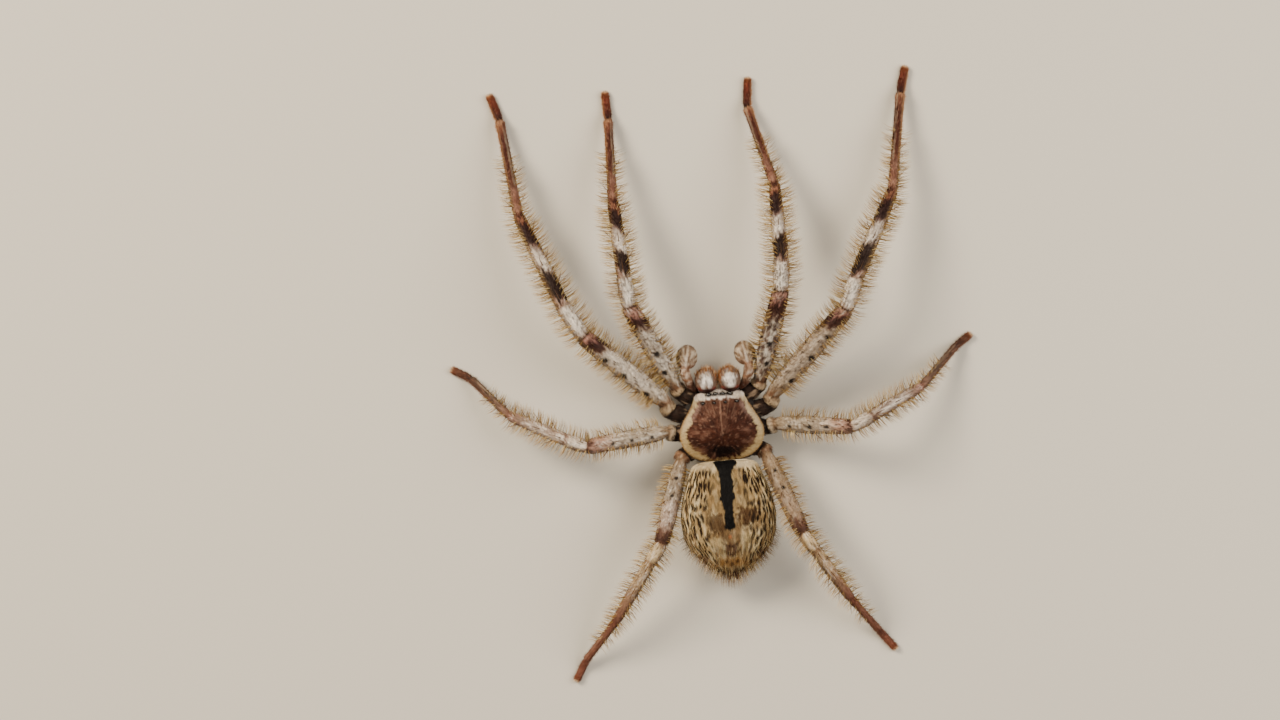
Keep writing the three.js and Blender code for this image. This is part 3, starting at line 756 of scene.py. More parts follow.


# %% Streaks and shading round a leg
# Of each pair: the colour and the weight of the painted shade on the rear edge of its legs.
REAR_PAINTED_SHADE = ("#6b4a32", "#8a6f52", "#6a5140", "#5a4030")
REAR_SHADE_WEIGHT = (0.5, 0.6, 0.65, 0.7)
# Painted shade: the right legs' femora are darkened as the side away from the main lamp.
RIGHT_FEMUR_PAINTED_SHADE = (0.0, 0.5, 0.1, 0.65)  # the right legs' femora are darker, most on the second and fourth


def shade_leg(colours, at):
    """Pale hair in streaks over darker skin, and painted shade on the rear edge, the underside and the right
    femora.
    """
    on_long = np.isin(at.length, (FEMUR, PATELLA, TIBIA))
    pale = colours.mean(axis=1)
    streaky = on_long * np.where(at.length == FEMUR, 0.4, 0.65)
    colours = wash(colours, "#f2ebe2", step(0.58, 0.82, at.streaks) * streaky * (pale > 0.25))
    colours = wash(colours, "#75604e", (1.0 - step(0.16, 0.42, at.streaks)) * streaky * (pale > 0.2))
    colours = wash(colours, "#5a4436", (1.0 - step(0.12, 0.34, at.pepper)) * on_long * (pale > 0.2) * 0.55)
    colours = wash(colours, "#f6f0e8", step(0.7, 0.9, at.pepper) * on_long * (pale > 0.25) * 0.5)
    # Painted shade on the right legs' femora.
    if at.right:
        colours = wash(colours, "#8a7256", (at.length == FEMUR) * RIGHT_FEMUR_PAINTED_SHADE[at.pair] * (pale > 0.2))
    # Painted shade: the rear edge and the underside of each length are darkened.
    rear = step(0.2, 0.95, -at.ahead) * np.isin(at.length, (FEMUR, PATELLA, TIBIA, METATARSUS))
    weight = REAR_SHADE_WEIGHT[at.pair] * np.where(at.length == FEMUR, 0.75, 1.0)
    colours = wash(colours, REAR_PAINTED_SHADE[at.pair], rear * weight)
    below = step(0.1, 0.8, -at.above) * (at.length >= FEMUR)
    return wash(colours, "#5e4332", below * 0.8)


# %% Specks and spots
SPECKS_FILLED = ((0.6, 0.95), (0.35, 0.35), (0.25, 0.25), (0.15, 0.15))  # of each pair, left and right
SPOTS = [(0.22, 0.445), (0.22, 0.49, 0.72), (0.22, 0.475, 0.7), (0.24, 0.455)]  # shares of the femur
SPOT_ANGLE = [(-18, -3), (-40, -36, -34), (-16, -12, -10), (6, 8)]  # degrees from the top, forwards
SPOT_SIZE = [0.5, 0.52, 0.4, 0.36]  # mm


def spot_leg(path, colours, at):
    """Fine dark specks, many on the first legs and few on the others, and the black spots of the femora."""
    filled = SPECKS_FILLED[at.pair][int(at.right)]
    specks = dashes(at.round_way, at.far, 0.5, 0.55, 0.11, seed=70 + at.seed, filled=filled)
    colours = wash(colours, "#3c261c", specks * np.isin(at.length, (FEMUR, PATELLA)) * 0.8)
    if at.pair == 0 and at.right:  # the one femur that is blotched all over
        blotch = dashes(at.round_way, at.far, 0.95, 1.4, 0.38, seed=77, filled=0.9)
        colours = wash(colours, "#4a2c22", blotch * (at.length == FEMUR) * (at.above > -0.2) * 0.85)
    femur_run = np.ptp(path["far"][path["length"] == FEMUR])
    size = SPOT_SIZE[at.pair]
    for spot, turn in zip(SPOTS[at.pair], SPOT_ANGLE[at.pair]):
        reach = np.hypot((at.share - spot) * femur_run, (at.angle - math.radians(turn)) * 1.5)
        dark = 1.0 - step(size * 0.75, size * 1.25, reach + (at.fine - 0.5) * 0.25)
        colours = wash(colours, "#140c0b", dark * (at.length == FEMUR) * 0.97)
    return colours


# %% Markings of a leg
def redden_foot(colours, at):
    """From the metatarsus on: a pale line in front that is a painted sheen, red-brown on top, and orange hair
    on the rear edge.
    """
    front_pairs = at.pair < 2
    lower = np.isin(at.length, (METATARSUS, FOOT, SOLE)) & ~((at.length == METATARSUS) & (at.share < 0.3))
    # Painted sheen: a pale, broken line along the top front of the metatarsus.
    line = band(at.angle, 0.4, 1.0, 0.25) * lower * (at.length == METATARSUS) * step(0.25, 0.6, at.streaks)
    colours = wash(colours, "#a5947e", line * (0.6 if at.pair < 3 else 0.2))
    edge = step(0.45, 0.95, -at.ahead) * lower
    colours = wash(colours, "#ac7c58" if front_pairs else "#8a5a46", edge * (0.6 if front_pairs else 0.5))
    colours = wash(colours, "#32150f", lower * (1.0 - step(0.2, 0.45, at.streaks)) * 0.5)
    return wash(colours, "#a8785e", lower * step(0.72, 0.9, at.pepper) * 0.4)


def leg_marking(path, nearest, angle):
    """The colour of each point of a leg, from its nearest stop and its angle from the top."""
    at = leg_fields(path, nearest, angle)
    colours = mottle_hips(band_colours(at), at)
    colours = spot_leg(path, shade_leg(colours, at), at)
    return redden_foot(colours, at)


# %% [markdown]
# ## The legs' skins
# Each leg is one skin from the coxa to the foot, so that no seam shows where its solids end. It is extruded
# from a circle of 28 sides, with a ring every third of a millimetre, which is fine enough for the bands.

# %% Leg skins
LEG_SIDES = 28
for name, path in legs.items():
    shape = extrude_along(stops_of(path), LEG_SIDES)
    for vertex in shape.verts:
        vertex.co.z = max(vertex.co.z, 0.0)  # the pad under the foot lies flat on the floor
    skin = ready(f"{name}_skin", shape, leg_shell, [f"{name}_{s}" for s in SEGMENTS])
    nearest, angle = leg_place(path, points_of(skin.data))
    radius = path["radius"][nearest]
    flow = np.stack([path["far"][nearest], radius * np.sin(angle), radius * np.cos(angle)], axis=1)
    dress(skin, leg_marking(path, nearest, angle), flow)
print("leg skins:", len(legs), "with", len(skin.data.vertices), "vertices in the last")

# %% [markdown]
# ## Domes
# The carapace, the abdomen and the plate under the body are rounded shapes with an outline of their own.
# Each starts as a cube that is divided and rounded into a ball without poles. Its equator is then pushed out
# to the outline, given as a few distances round the middle, and its top and bottom are raised to their
# heights.


# %% From a cube to a ball without poles
def round_ball(cuts):
    """A ball of radius 1 made of squares, with as many cuts along each edge of the cube."""
    shape = bmesh.new()
    bmesh.ops.create_cube(shape, size=2.0)
    bmesh.ops.subdivide_edges(shape, edges=shape.edges, cuts=cuts, use_grid_fill=True)
    for vertex in shape.verts:
        # Evening out the squares before rounding keeps the faces alike in size over the ball.
        vertex.co = Vector([math.tan(c * math.pi / 4.0) for c in vertex.co]).normalized()
    return shape


# %% An outline seen from above
OUTLINE_POINTS = 241


class Outline:
    """A mirrored outline, from its front point round the right side to its back point."""

    def __init__(self, corners, rounding):
        corners = np.array(corners, dtype=float)
        far = np.concatenate([[0.0], np.cumsum(np.linalg.norm(np.diff(corners, axis=0), axis=1))])
        even = np.linspace(0.0, far[-1], OUTLINE_POINTS)
        self.points = np.stack([np.interp(even, far, corners[:, k]) for k in (0, 1)], axis=1)
        for _ in range(rounding):
            before, after = self.points[1:2] * (-1, 1), self.points[-2:-1] * (-1, 1)
            mirrored = np.concatenate([before, self.points, after])
            self.points = (mirrored[:-2] + 2.0 * mirrored[1:-1] + mirrored[2:]) / 4.0

    def at(self, share):
        """The place at a share of the way round, from 0 at the front to 1 at the back."""
        count = len(self.points) - 1
        return [float(np.interp(share * count, np.arange(count + 1), self.points[:, k])) for k in (0, 1)]

    def reach(self, angle, middle_y):
        """How far the outline is from a middle, at an angle in degrees from the front."""
        angles = np.degrees(np.arctan2(self.points[:, 0], self.points[:, 1] - middle_y))
        sizes = np.hypot(self.points[:, 0], self.points[:, 1] - middle_y)
        return np.interp(np.abs(angle), angles, sizes)

    def inside(self, x, y):
        """How far places are from the outline."""
        nearest = np.full(len(x), np.inf)
        for px, py in self.points:
            nearest = np.minimum(nearest, np.hypot(np.abs(x) - px, y - py))
        return nearest


# %% [markdown]
# ### Carapace
# The carapace covers the head and the legs' roots: round behind, with a narrower head in front. It is low,
# highest a little behind the middle, with a shallow pit there from which faint grooves run out to the legs.

# %% Outline of the carapace
CARAPACE = {
    "half_width": 7.2, "front_half_width": 4.1, "front": CARAPACE_FRONT, "back": -5.4,
    "rim": 6.3, "height": 4.0,
}
WIDEST = -0.9  # how far forward the carapace is widest
CARAPACE_ROUNDING = 14


def carapace_half_width(y):
    """Half the carapace's width at a place along it: it tapers to the head, and closes in a round back."""
    if y >= WIDEST:
        share = (y - WIDEST) / (CARAPACE["front"] - WIDEST)
        taper = math.sin(share * math.pi / 2.0) ** 1.9
        return CARAPACE["half_width"] + (CARAPACE["front_half_width"] - CARAPACE["half_width"]) * taper
    share = (WIDEST - y) / (WIDEST - CARAPACE["back"])
    round_end, blunt_end = math.sqrt(1.0 - share**2.6), math.sqrt(1.0 - 0.62 * share**2)
    return CARAPACE["half_width"] * (0.42 * round_end + 0.58 * blunt_end)


brow = [(x, CARAPACE["front"] + 0.05 - 0.05 * x * x) for x in np.linspace(0.0, 3.9, 8)]
flanks = [(carapace_half_width(y), y) for y in np.linspace(5.6, CARAPACE["back"], 40)]
carapace_outline = Outline([*brow, *flanks, (0.0, CARAPACE["back"])], CARAPACE_ROUNDING)
print("carapace, half width before it is rounded, mm:", round(carapace_half_width(WIDEST), 2))

# %% Carapace skin
PIT = -1.5  # where the pit is, and where the grooves start
GROOVES = (38, 72, 108, 143)  # degrees from the front, one pair for each pair of legs
HEAD_GROOVE = 30  # degrees from the front: the groove that sets off the head
CARAPACE_CUTS = 46


def carapace_dent(x, y):
    """How deep the pit and the grooves are at a place."""
    angle = math.degrees(math.atan2(abs(x), y - PIT))
    far = math.hypot(x, y - PIT)
    grooves = sum(math.exp(-(((angle - groove) / 5.0) ** 2)) for groove in GROOVES)
    grooves *= 0.1 * float(band(far, 1.2, 5.2, 0.9))
    grooves += 0.25 * math.exp(-((x / 0.3) ** 2) - ((y - PIT) / 0.9) ** 2)
    return grooves + 0.14 * math.exp(-(((angle - HEAD_GROOVE) / 7.0) ** 2)) * float(band(far, 2.5, 6.5, 1.0))


def carapace_skin():
    """The carapace as a low dome on its outline, with its pit and grooves."""
    shape = round_ball(CARAPACE_CUTS)
    for vertex in shape.verts:
        x, y, z = vertex.co
        flat, turn = math.hypot(x, y), math.atan2(x, y)
        reach = float(carapace_outline.reach(math.degrees(turn), 0.0)) * flat**0.86
        place = Vector((math.sin(turn) * reach, math.cos(turn) * reach))
        height = -0.25
        if z >= 0.0:
            rear, front = float(step(-5.8, -0.6, place.y)), float(step(3.0, 7.0, place.y))
            height = CARAPACE["height"] * (0.3 + 0.7 * rear) * (1.0 - 0.3 * front)
            height -= carapace_dent(place.x, place.y) / max(0.25, z)
        vertex.co = Vector((place.x, place.y, CARAPACE["rim"] + 0.15 + height * abs(z)))
    bmesh.ops.recalc_face_normals(shape, faces=shape.faces)
    return shape


carapace = ready("carapace_skin", carapace_skin(), carapace_shell, ["carapace"])
points = points_of(carapace.data)
print("carapace, mm:", np.round(points.min(axis=0), 2), np.round(points.max(axis=0), 2))


# %% The brown patch of the carapace
def carapace_fields(x, y):
    """What the carapace's markings are made from: distances, and noise that runs out from the pit."""
    turn, far = np.degrees(np.arctan2(x, y - PIT)), np.hypot(x, y - PIT)
    return SimpleNamespace(
        inside=carapace_outline.inside(x, y),
        far=far,
        rays=grain(1.0, turn / 4.5, far * 0.45, seed=2),
        rays_fine=grain(1.0, turn / 2.2, far * 1.1, seed=3),
        clouds=grain(1.0, x, y, seed=5),
        fine=grain(0.3, x, y, seed=7),
        ragged=grain(0.5, turn / 4.0, far * 0.7, seed=9),
    )


def brown_patch(x, at):
    """The brown of the middle, with rays, clouds and single hairs."""
    colours = np.tile(linear("#4f2a1d"), (len(x), 1))
    colours = wash(colours, "#6e4434", step(0.55, 0.85, at.rays) * 0.35)
    colours = wash(colours, "#2e1712", (1.0 - step(0.15, 0.42, at.rays)) * 0.35)
    colours = wash(colours, "#86604f", step(0.55, 0.85, at.clouds) * 0.6 * band(at.far, 1.4, 5.6, 1.0))
    colours = wash(colours, "#2c1510", (1.0 - step(0.15, 0.4, at.clouds)) * 0.5)
    colours = wash(colours, "#35180f", (1.0 - step(0.2, 0.42, at.rays_fine)) * 0.25)
    colours = wash(colours, "#2c140e", (1.0 - step(0.1, 0.34, at.fine)) * 0.65)
    return wash(colours, "#a5806c", step(0.72, 0.9, at.fine) * 0.6)


# %% Head, rear patch and rim of the carapace
HEAD_LINES = ((0.0, 0.0), (1.25, 0.26), (-1.25, 0.26), (2.35, 0.42), (-2.35, 0.42))  # place and lean of each


def head_lines(colours, x, y, at):
    """The head is pinkish tan, with paler lines that run back from the rear eyes and draw together."""
    head = step(2.4, 4.6, y - 0.10 * np.abs(x) + (at.clouds - 0.5) * 1.6)
    colours = wash(colours, "#86604f", head * 0.5)
    colours = wash(colours, "#4a281c", head * step(0.5, 0.75, at.rays_fine) * 0.5)
    for off, lean in HEAD_LINES:
        line = np.abs(x - off - np.sign(off) * lean * (y - 3.4) + (at.fine - 0.5) * 0.14)
        reach = band(y, -1.2, 4.8, 0.5) if off == 0.0 else band(y, 2.0 - 0.3 * lean, 5.0, 0.6)
        weight = 0.6 if off == 0.0 else 0.22
        colours = wash(colours, "#b8917a", (1.0 - step(0.03, 0.2, line)) * reach * weight)
    return colours


def rear_and_rim(colours, x, y, at):
    """Pinkish grey along the inner margin in front, dark at the rear, and the cream rim round it all."""
    margin = band(at.inside, 0.7, 1.45, 0.3) * band(y, 1.2, 4.9, 0.8)
    colours = wash(colours, "#a3867c", margin * (0.25 + 0.7 * at.fine))
    rear = np.hypot(x / 2.5, (y + 3.95) / 0.95) + (at.clouds - 0.5) * 0.5 + (at.fine - 0.5) * 0.5
    colours = wash(colours, "#190f0e", (1.0 - step(0.55, 1.4, rear + (at.rays_fine - 0.5) * 0.5)) * 0.95)
    tan = (1.0 - step(1.2, 1.9, at.inside + (at.fine - 0.5) * 1.2)) * (1.0 - step(-3.0, -1.2, y))
    colours = wash(colours, "#8d6a48", tan * 0.6 * step(2.6, 3.8, np.abs(x)))
    behind_patch = np.where(y < -2.0, 0.22 + 0.78 * step(1.2, 5.4, np.abs(x)), 1.0)
    wide = (1.12 - 0.45 * step(0.5, 4.0, y)) * behind_patch
    wide = wide + (at.fine - 0.5) * 0.5 + (at.ragged - 0.5) * 0.4 * step(1.5, 3.5, np.abs(x))
    rim = (1.0 - step(-0.14, 0.14, at.inside - wide)) * (1.0 - step(5.0, 5.8, y))
    colours = wash(colours, "#cfb98a", rim)
    colours = wash(colours, "#e0cfae", rim * step(-2.5, 1.5, y) * 0.7)
    colours = wash(colours, "#a9854c", rim * step(0.6, 0.85, at.fine) * 0.5 * (1.0 - step(-4.0, 1.0, y)))
    return wash(colours, "#9a6b33", (1.0 - step(0.1, 0.32, at.inside)) * (y < 4.0) * 0.7)


# %% The face
# Of each eye: where it is beside the middle line, and its radius, in millimetres.
EYES = {
    "front_middle": ((0.62, 6.0), 0.31),
    "front_side": ((1.88, 5.9), 0.37),
    "back_middle": ((0.98, 4.46), 0.22),
    "back_side": ((2.95, 4.5), 0.27),
}


def face_marking(colours, x, y, at):
    """White hair round the two rows of eyes, with a black bar under the front row and a red lip."""
    face = step(4.75, 5.25, y + (at.fine - 0.5) * 0.7 - 0.05 * np.abs(x))
    colours = wash(colours, "#f6eee8", face * 0.97)
    colours = wash(colours, "#7d6058", face * (1.0 - step(0.2, 0.4, at.fine)) * 0.8)
    for side in SIDES.values():
        corner = np.hypot((x - side * 3.1) / 0.95, (y - 5.45) / 0.55)
        colours = wash(colours, "#e8dccb", (1.0 - step(0.6, 1.1, corner)) * 0.9)
        for eye, ((eye_x, eye_y), radius) in EYES.items():
            ring = np.hypot((x - side * eye_x) * 0.8, (y - eye_y) * 1.15) / radius
            soft = 1.9 if eye.startswith("back") else 1.6
            colours = wash(colours, "#140d0c", (1.0 - step(1.0, soft, ring)) * 0.95)
    bar = band(y, 5.55, 6.1, 0.14) * (1.0 - step(2.1, 2.5, np.abs(x))) * step(0.25, 0.4, at.fine)
    colours = wash(colours, "#120c0b", bar * 0.92)
    brow_line = y + 0.05 * x * x
    colours = wash(colours, "#e6dcd2", band(brow_line, 6.25, 6.62, 0.1) * 0.7 * (np.abs(x) < 3.4))
    return wash(colours, "#5b2018", step(6.62, 6.74, brow_line) * 0.9)


# %% Markings of the carapace
def carapace_marking(points):
    """The colour of each point of the carapace."""
    x, y, z = points.T
    at = carapace_fields(x, y)
    colours = head_lines(brown_patch(x, at), x, y, at)
    colours = face_marking(rear_and_rim(colours, x, y, at), x, y, at)
    return wash(colours, "#2a1a14", z < CARAPACE["rim"] + 0.05)


turn, far = np.arctan2(points[:, 0], points[:, 1] - PIT), np.hypot(points[:, 0], points[:, 1] - PIT)
dress(carapace, carapace_marking(points), np.stack([far, turn * 4.0, points[:, 2]], axis=1))
print("carapace: markings on", len(points), "points")

# %% [markdown]
# ### Abdomen
# The abdomen is a soft egg with a blunt front, cream with dark streaks that run back and draw together at
# the spinnerets. A black stripe runs down its front two thirds, broad where it starts, with ragged edges.

# %% Outline of the abdomen
ABDOMEN = {"front": -5.7, "length": 19.9, "half_width": 8.3, "heights": (6.9, 7.1, 5.2), "flatness": 0.6}
# How far back from its front, and how wide there as a share of its half width.
ABDOMEN_ROWS = [
    (0, 0), (0.004, 0.4), (0.012, 0.56), (0.035, 0.67), (0.1, 0.75), (0.2, 0.84), (0.33, 0.94), (0.48, 1),
    (0.64, 0.97), (0.74, 0.88), (0.83, 0.71), (0.92, 0.48), (0.975, 0.27), (1, 0),
]
ABDOMEN_ROUNDING = 20
BEFORE_FULLEST, BEHIND_FULLEST = 0.45, 0.55  # the lengths before and behind its highest place, as shares

abdomen_corners = [
    (ABDOMEN["half_width"] * wide, ABDOMEN["front"] - ABDOMEN["length"] * back)
    for back, wide in ABDOMEN_ROWS
]
abdomen_outline = Outline(abdomen_corners, ABDOMEN_ROUNDING)


def abdomen_middle(y):
    """The height of the abdomen's middle line."""
    back = (ABDOMEN["front"] - y) / ABDOMEN["length"]
    first, fullest, last = ABDOMEN["heights"]
    risen = np.clip(back / BEFORE_FULLEST, 0.0, 1.0)
    sunk = np.clip((back - BEFORE_FULLEST) / BEHIND_FULLEST, 0.0, 1.0) ** 1.6
    return first + (fullest - first) * risen + (last - fullest) * sunk


print("height of the abdomen's middle line in front, mm:", float(abdomen_middle(ABDOMEN["front"])))

# %% Abdomen skin
ABDOMEN_CUTS = 88


def abdomen_skin():
    """The abdomen as a flattened egg, whose rings follow its outline and its middle line."""
    shape = round_ball(ABDOMEN_CUTS)
    for vertex in shape.verts:
        x, y, z = vertex.co
        half, back = abdomen_outline.at(math.acos(max(-1.0, min(1.0, y))) / math.pi)
        round_size = max(math.hypot(x, z), 1e-6)
        side, up = x / round_size, z / round_size
        high = math.copysign(abs(up) ** 0.86, up) * ABDOMEN["flatness"] * half
        vertex.co = Vector((half * side, back, float(abdomen_middle(back)) + high))
    bmesh.ops.recalc_face_normals(shape, faces=shape.faces)
    return shape


abdomen = ready("abdomen_skin", abdomen_skin(), abdomen_shell, ["abdomen"])
points = points_of(abdomen.data)
print("abdomen, mm:", np.round(points.min(axis=0), 2), np.round(points.max(axis=0), 2))


# %% Ground of the abdomen
def abdomen_fields(x, y, z):
    """What the abdomen's markings are made from: lanes that draw together at the rear, and noise."""
    wide = np.interp(-y, -abdomen_outline.points[:, 1], abdomen_outline.points[:, 0])
    high = (z - abdomen_middle(y)) / np.maximum(wide * ABDOMEN["flatness"], 0.3)
    turn = np.arctan2(x / np.maximum(wide, 0.3), high)
    lane = turn / (math.pi / 2.0) * ABDOMEN["half_width"]  # 0 on top, and the half width at the side
    return SimpleNamespace(
        lane=lane,
        out=np.abs(lane),
        fine=grain(0.35, x, y, seed=31),
        clouds=grain(1.6, x, y, seed=21),
        ridges=grain(1.0, lane * 2.6, y * 0.8, seed=11),
    )


def cream_ground(y, at):
    """Cream hair with paler and browner ridges, and paler flanks, partly the hair's tones and partly painted
    highlight and shade.
    """
    colours = np.tile(linear("#cdb385"), (len(y), 1))
    colours = wash(colours, "#a58456", step(0.5, 0.9, at.clouds) * 0.5)
    # The paler ridges and the browner hollows between them are partly the hair's own tones and partly painted
    # highlight and painted shade.
    colours = wash(colours, "#f0dfb8", step(0.5, 0.75, at.ridges) * 0.85)
    colours = wash(colours, "#8d6f48", (1.0 - step(0.15, 0.38, at.ridges)) * 0.55)
    # The rear flanks are paler: partly paler hair, partly a painted highlight on the edges.
    return wash(colours, "#ead8b2", step(6.2, 7.4, at.out) * step(-21.0, -16.0, y) * 0.65)


# %% Patches and streaks of the abdomen
BROWN_PATCHES = ((-2.3, -16.3, 1.6, 0.85), (3.3, -15.5, 2.0, 0.95))  # x, y, half width and darkness
PALE_SPOTS = ((-2.6, -19.6), (3.4, -19.0))
LANE = 0.66  # mm from one row of dark streaks to the next


def abdomen_patches(colours, x, y, at):
    """Tan beside the stripe, brown patches at its end, pale spots behind them, and reddish rear corners."""
    beside, behind = 1.0 - step(2.6, 4.2, at.out), 1.0 - step(1.2, 2.4, np.abs(x))
    colours = wash(colours, "#a58a5e", beside * band(y, -14.5, -7.5, 1.0) * 0.65)
    colours = wash(colours, "#8a6a48", behind * band(y, -19.8, -15.5, 0.8) * 0.7)
    for patch_x, patch_y, half, dark in BROWN_PATCHES:
        patch = np.hypot((x - patch_x) / half, (y - patch_y) / 2.1) + (at.fine - 0.5) * 0.9
        patch = patch + (at.clouds - 0.5) * 0.4
        colours = wash(colours, "#5c4028", (1.0 - step(0.6, 1.2, patch)) * dark)
    for spot_x, spot_y in PALE_SPOTS:
        pale = np.hypot((x - spot_x) / 1.5, (y - spot_y) / 0.95) + (at.fine - 0.5) * 0.5
        colours = wash(colours, "#ecd6a6", (1.0 - step(0.6, 1.15, pale)) * 0.85)
    for side in SIDES.values():
        corner = np.hypot((x - side * 5.6) / 1.8, (y + 22.6) / 1.6) + (at.clouds - 0.5)
        colours = wash(colours, "#6d3b2c", (1.0 - step(0.5, 1.1, corner)) * 0.6)
    return colours


def abdomen_streaks(colours, y, at):
    """Dark dashes in wavy lanes, darkest on the sides."""
    strength = 0.25 + 0.3 * step(-13.0, -10.0, y) + 0.75 * step(1.5, 3.2, at.out)
    # Fewer dashes on the rear flanks, which are paler partly as a painted highlight.
    pale_flank = 1.0 - 0.5 * step(7.2, 8.0, at.out) * step(-20.0, -15.0, y)
    strength = strength * (1.0 - step(-7.4, -6.4, y)) * pale_flank
    waves = at.lane + (grain(1.1, at.lane, y, seed=33) - 0.5) * 0.45
    darker = dashes(waves, y, LANE, 1.75, 0.2, seed=40, filled=0.97)
    lighter = dashes(waves + LANE / 2.0, y + 0.8, LANE, 1.45, 0.17, seed=60, filled=0.97)
    colours = wash(colours, "#1a0f08", darker * strength * 0.98)
    return wash(colours, "#2e1c0f", lighter * strength * 0.85)


# %% Rear of the abdomen
CHEVRONS = (-20.6, -22.0)
REAR_SPOTS = ((0.0, -23.7, 0.55), (-0.9, -23.1, 0.4), (0.95, -23.2, 0.4))  # x, y and size


def abdomen_rear(colours, x, y, at):
    """A brown wedge with two chevrons, a golden band with spots, and red-brown round the spinnerets."""
    wedge = np.hypot(x / 1.25, (y + 20.9) / 1.5) + (at.fine - 0.5) * 0.4
    colours = wash(colours, "#71503c", (1.0 - step(0.65, 1.1, wedge)) * 0.9)
    for level in CHEVRONS:
        chevron = np.abs(y - level - 0.55 * np.abs(x) + (at.fine - 0.5) * 0.5)
        colours = wash(colours, "#3c2519", (1.0 - step(0.1, 0.38, chevron)) * (np.abs(x) < 1.7) * 0.75)
    golden = 1.0 - step(0.5, 1.2, np.hypot(x / 3.0, y + 23.3) + (at.fine - 0.5) * 0.5)
    colours = wash(colours, "#b98848", golden * 0.8)
    colours = wash(colours, "#e6c88c", golden * step(0.65, 0.85, at.fine) * 0.7)
    for spot_x, spot_y, size in REAR_SPOTS:
        spot = np.hypot(x - spot_x, y - spot_y) / size
        colours = wash(colours, "#4a2c18", (1.0 - step(0.5, 1.1, spot)) * 0.85)
    orange_dot = 1.0 - step(0.15, 0.4, np.hypot(x + 0.05, y + 18.7))
    colours = wash(colours, "#d98a58", orange_dot * 0.9)
    return wash(colours, "#452019", (1.0 - step(-25.3, -24.0, y + (at.fine - 0.5) * 0.5)) * 0.9)


# %% Stripe of the abdomen
# How far back the black stripe is, and half its width there.
STRIPE = [
    (5.4, 2.1), (6.2, 2.0), (6.7, 1.6), (7.3, 1.2), (9.3, 1.1), (11.4, 1.2), (12.2, 1.32), (12.9, 1.0),
    (14.6, 0.8), (15.6, 0.95), (16.9, 0.9), (17.3, 0.7), (17.65, 0.0),
]
STRIPE_END = -17.8


def abdomen_stripe(colours, x, y, z, at):
    """The front edge is white, and the black stripe starts on it and has notched edges."""
    front = step(-7.3, -6.0, y + (at.fine - 0.5) * 0.6) * step(0.8, 2.0, np.abs(x))
    colours = wash(colours, "#e9dcc0", front * np.where(x > 0.0, 0.95, 0.6))
    notch = (grain(0.42, y, np.sign(x) * 3.0, seed=41) - 0.5) * 0.36 + (at.fine - 0.5) * 0.3
    half = np.interp(-y, *zip(*STRIPE))
    stripe = 1.0 - step(-0.1, 0.1, np.abs(x) - half + notch * (half > 0.3))
    return wash(colours, "#0f0f11", stripe * (y > STRIPE_END) * (z > 7.0))


# %% Markings of the abdomen
ABDOMEN_CORE = 7.0  # the height of the line that its grain and its hair's map turn round


def abdomen_marking(points):
    """The colour of each point of the abdomen."""
    x, y, z = points.T
    at = abdomen_fields(x, y, z)
    colours = abdomen_patches(cream_ground(y, at), x, y, at)
    colours = abdomen_rear(abdomen_streaks(colours, y, at), x, y, at)
    colours = abdomen_stripe(colours, x, y, z, at)
    return wash(colours, "#8a745c", (1.0 - step(2.8, 5.0, z)) * 0.8)


turn = np.arctan2(points[:, 0], points[:, 2] - ABDOMEN_CORE)
flow = np.stack([-points[:, 1], turn * 5.0, np.zeros(len(points))], axis=1)
dress(abdomen, abdomen_marking(points), flow)
print("abdomen: markings on", len(points), "points")

# %% [markdown]
# ### Under the body
# The sternum is a hard plate between the legs' roots, with the mouth parts before it. Between it and the
# carapace lies soft skin, widened out to the legs' roots and coloured near-black: a painted shadow for the
# black gaps round the roots of the legs.

# %% A flat plate from an outline
PLATE_ROUNDNESS = 0.7  # below 1, the plate keeps its height nearly to its edge


def plate_skin(cuts, corners, rounding, middle, top, bottom):
    """A flattened ball on an outline, rising to top and sinking to bottom from its middle."""
    shape, outline = round_ball(cuts), Outline(corners, rounding)
    for vertex in shape.verts:
        x, y, z = vertex.co
        flat, turn = math.hypot(x, y), math.atan2(x, y)
        reach = float(outline.reach(math.degrees(turn), middle[1])) * flat**PLATE_ROUNDNESS
        height = (top - middle[2]) if z > 0 else (middle[2] - bottom)
        place = (math.sin(turn) * reach, middle[1] + math.cos(turn) * reach, middle[2] + z * height)
        vertex.co = Vector(place)
    bmesh.ops.recalc_face_normals(shape, faces=shape.faces)
    return shape


def add_shape(shape, extra):
    """Joins one bmesh to another."""
    spare = bpy.data.meshes.new("spare")
    extra.to_mesh(spare)
    extra.free()
    shape.from_mesh(spare)
    bpy.data.meshes.remove(spare)


def plain_marking(points, colour, other, size, seed):
    """One colour with soft patches of another."""
    share = step(0.35, 0.7, grain(size, *points.T, seed=seed))
    return wash(np.tile(linear(colour), (len(points), 1)), other, share * 0.7)


def dress_plain(made, colour, other, size=0.8):
    """Dresses a part that has no markings of its own."""
    points = points_of(made.data)
    dress(made, plain_marking(points, colour, other, size, 1), points)


# %% Sternum and mouth parts
MAXILLA = [(1.0, 3.6, 3.7), (1.2, 5.6, 3.75), (1.35, 6.95, 3.9)]
MAXILLA_RADII = ((0, 0.9, 1.6, 2), (0.8, 1.0, 0.85, 0.3))

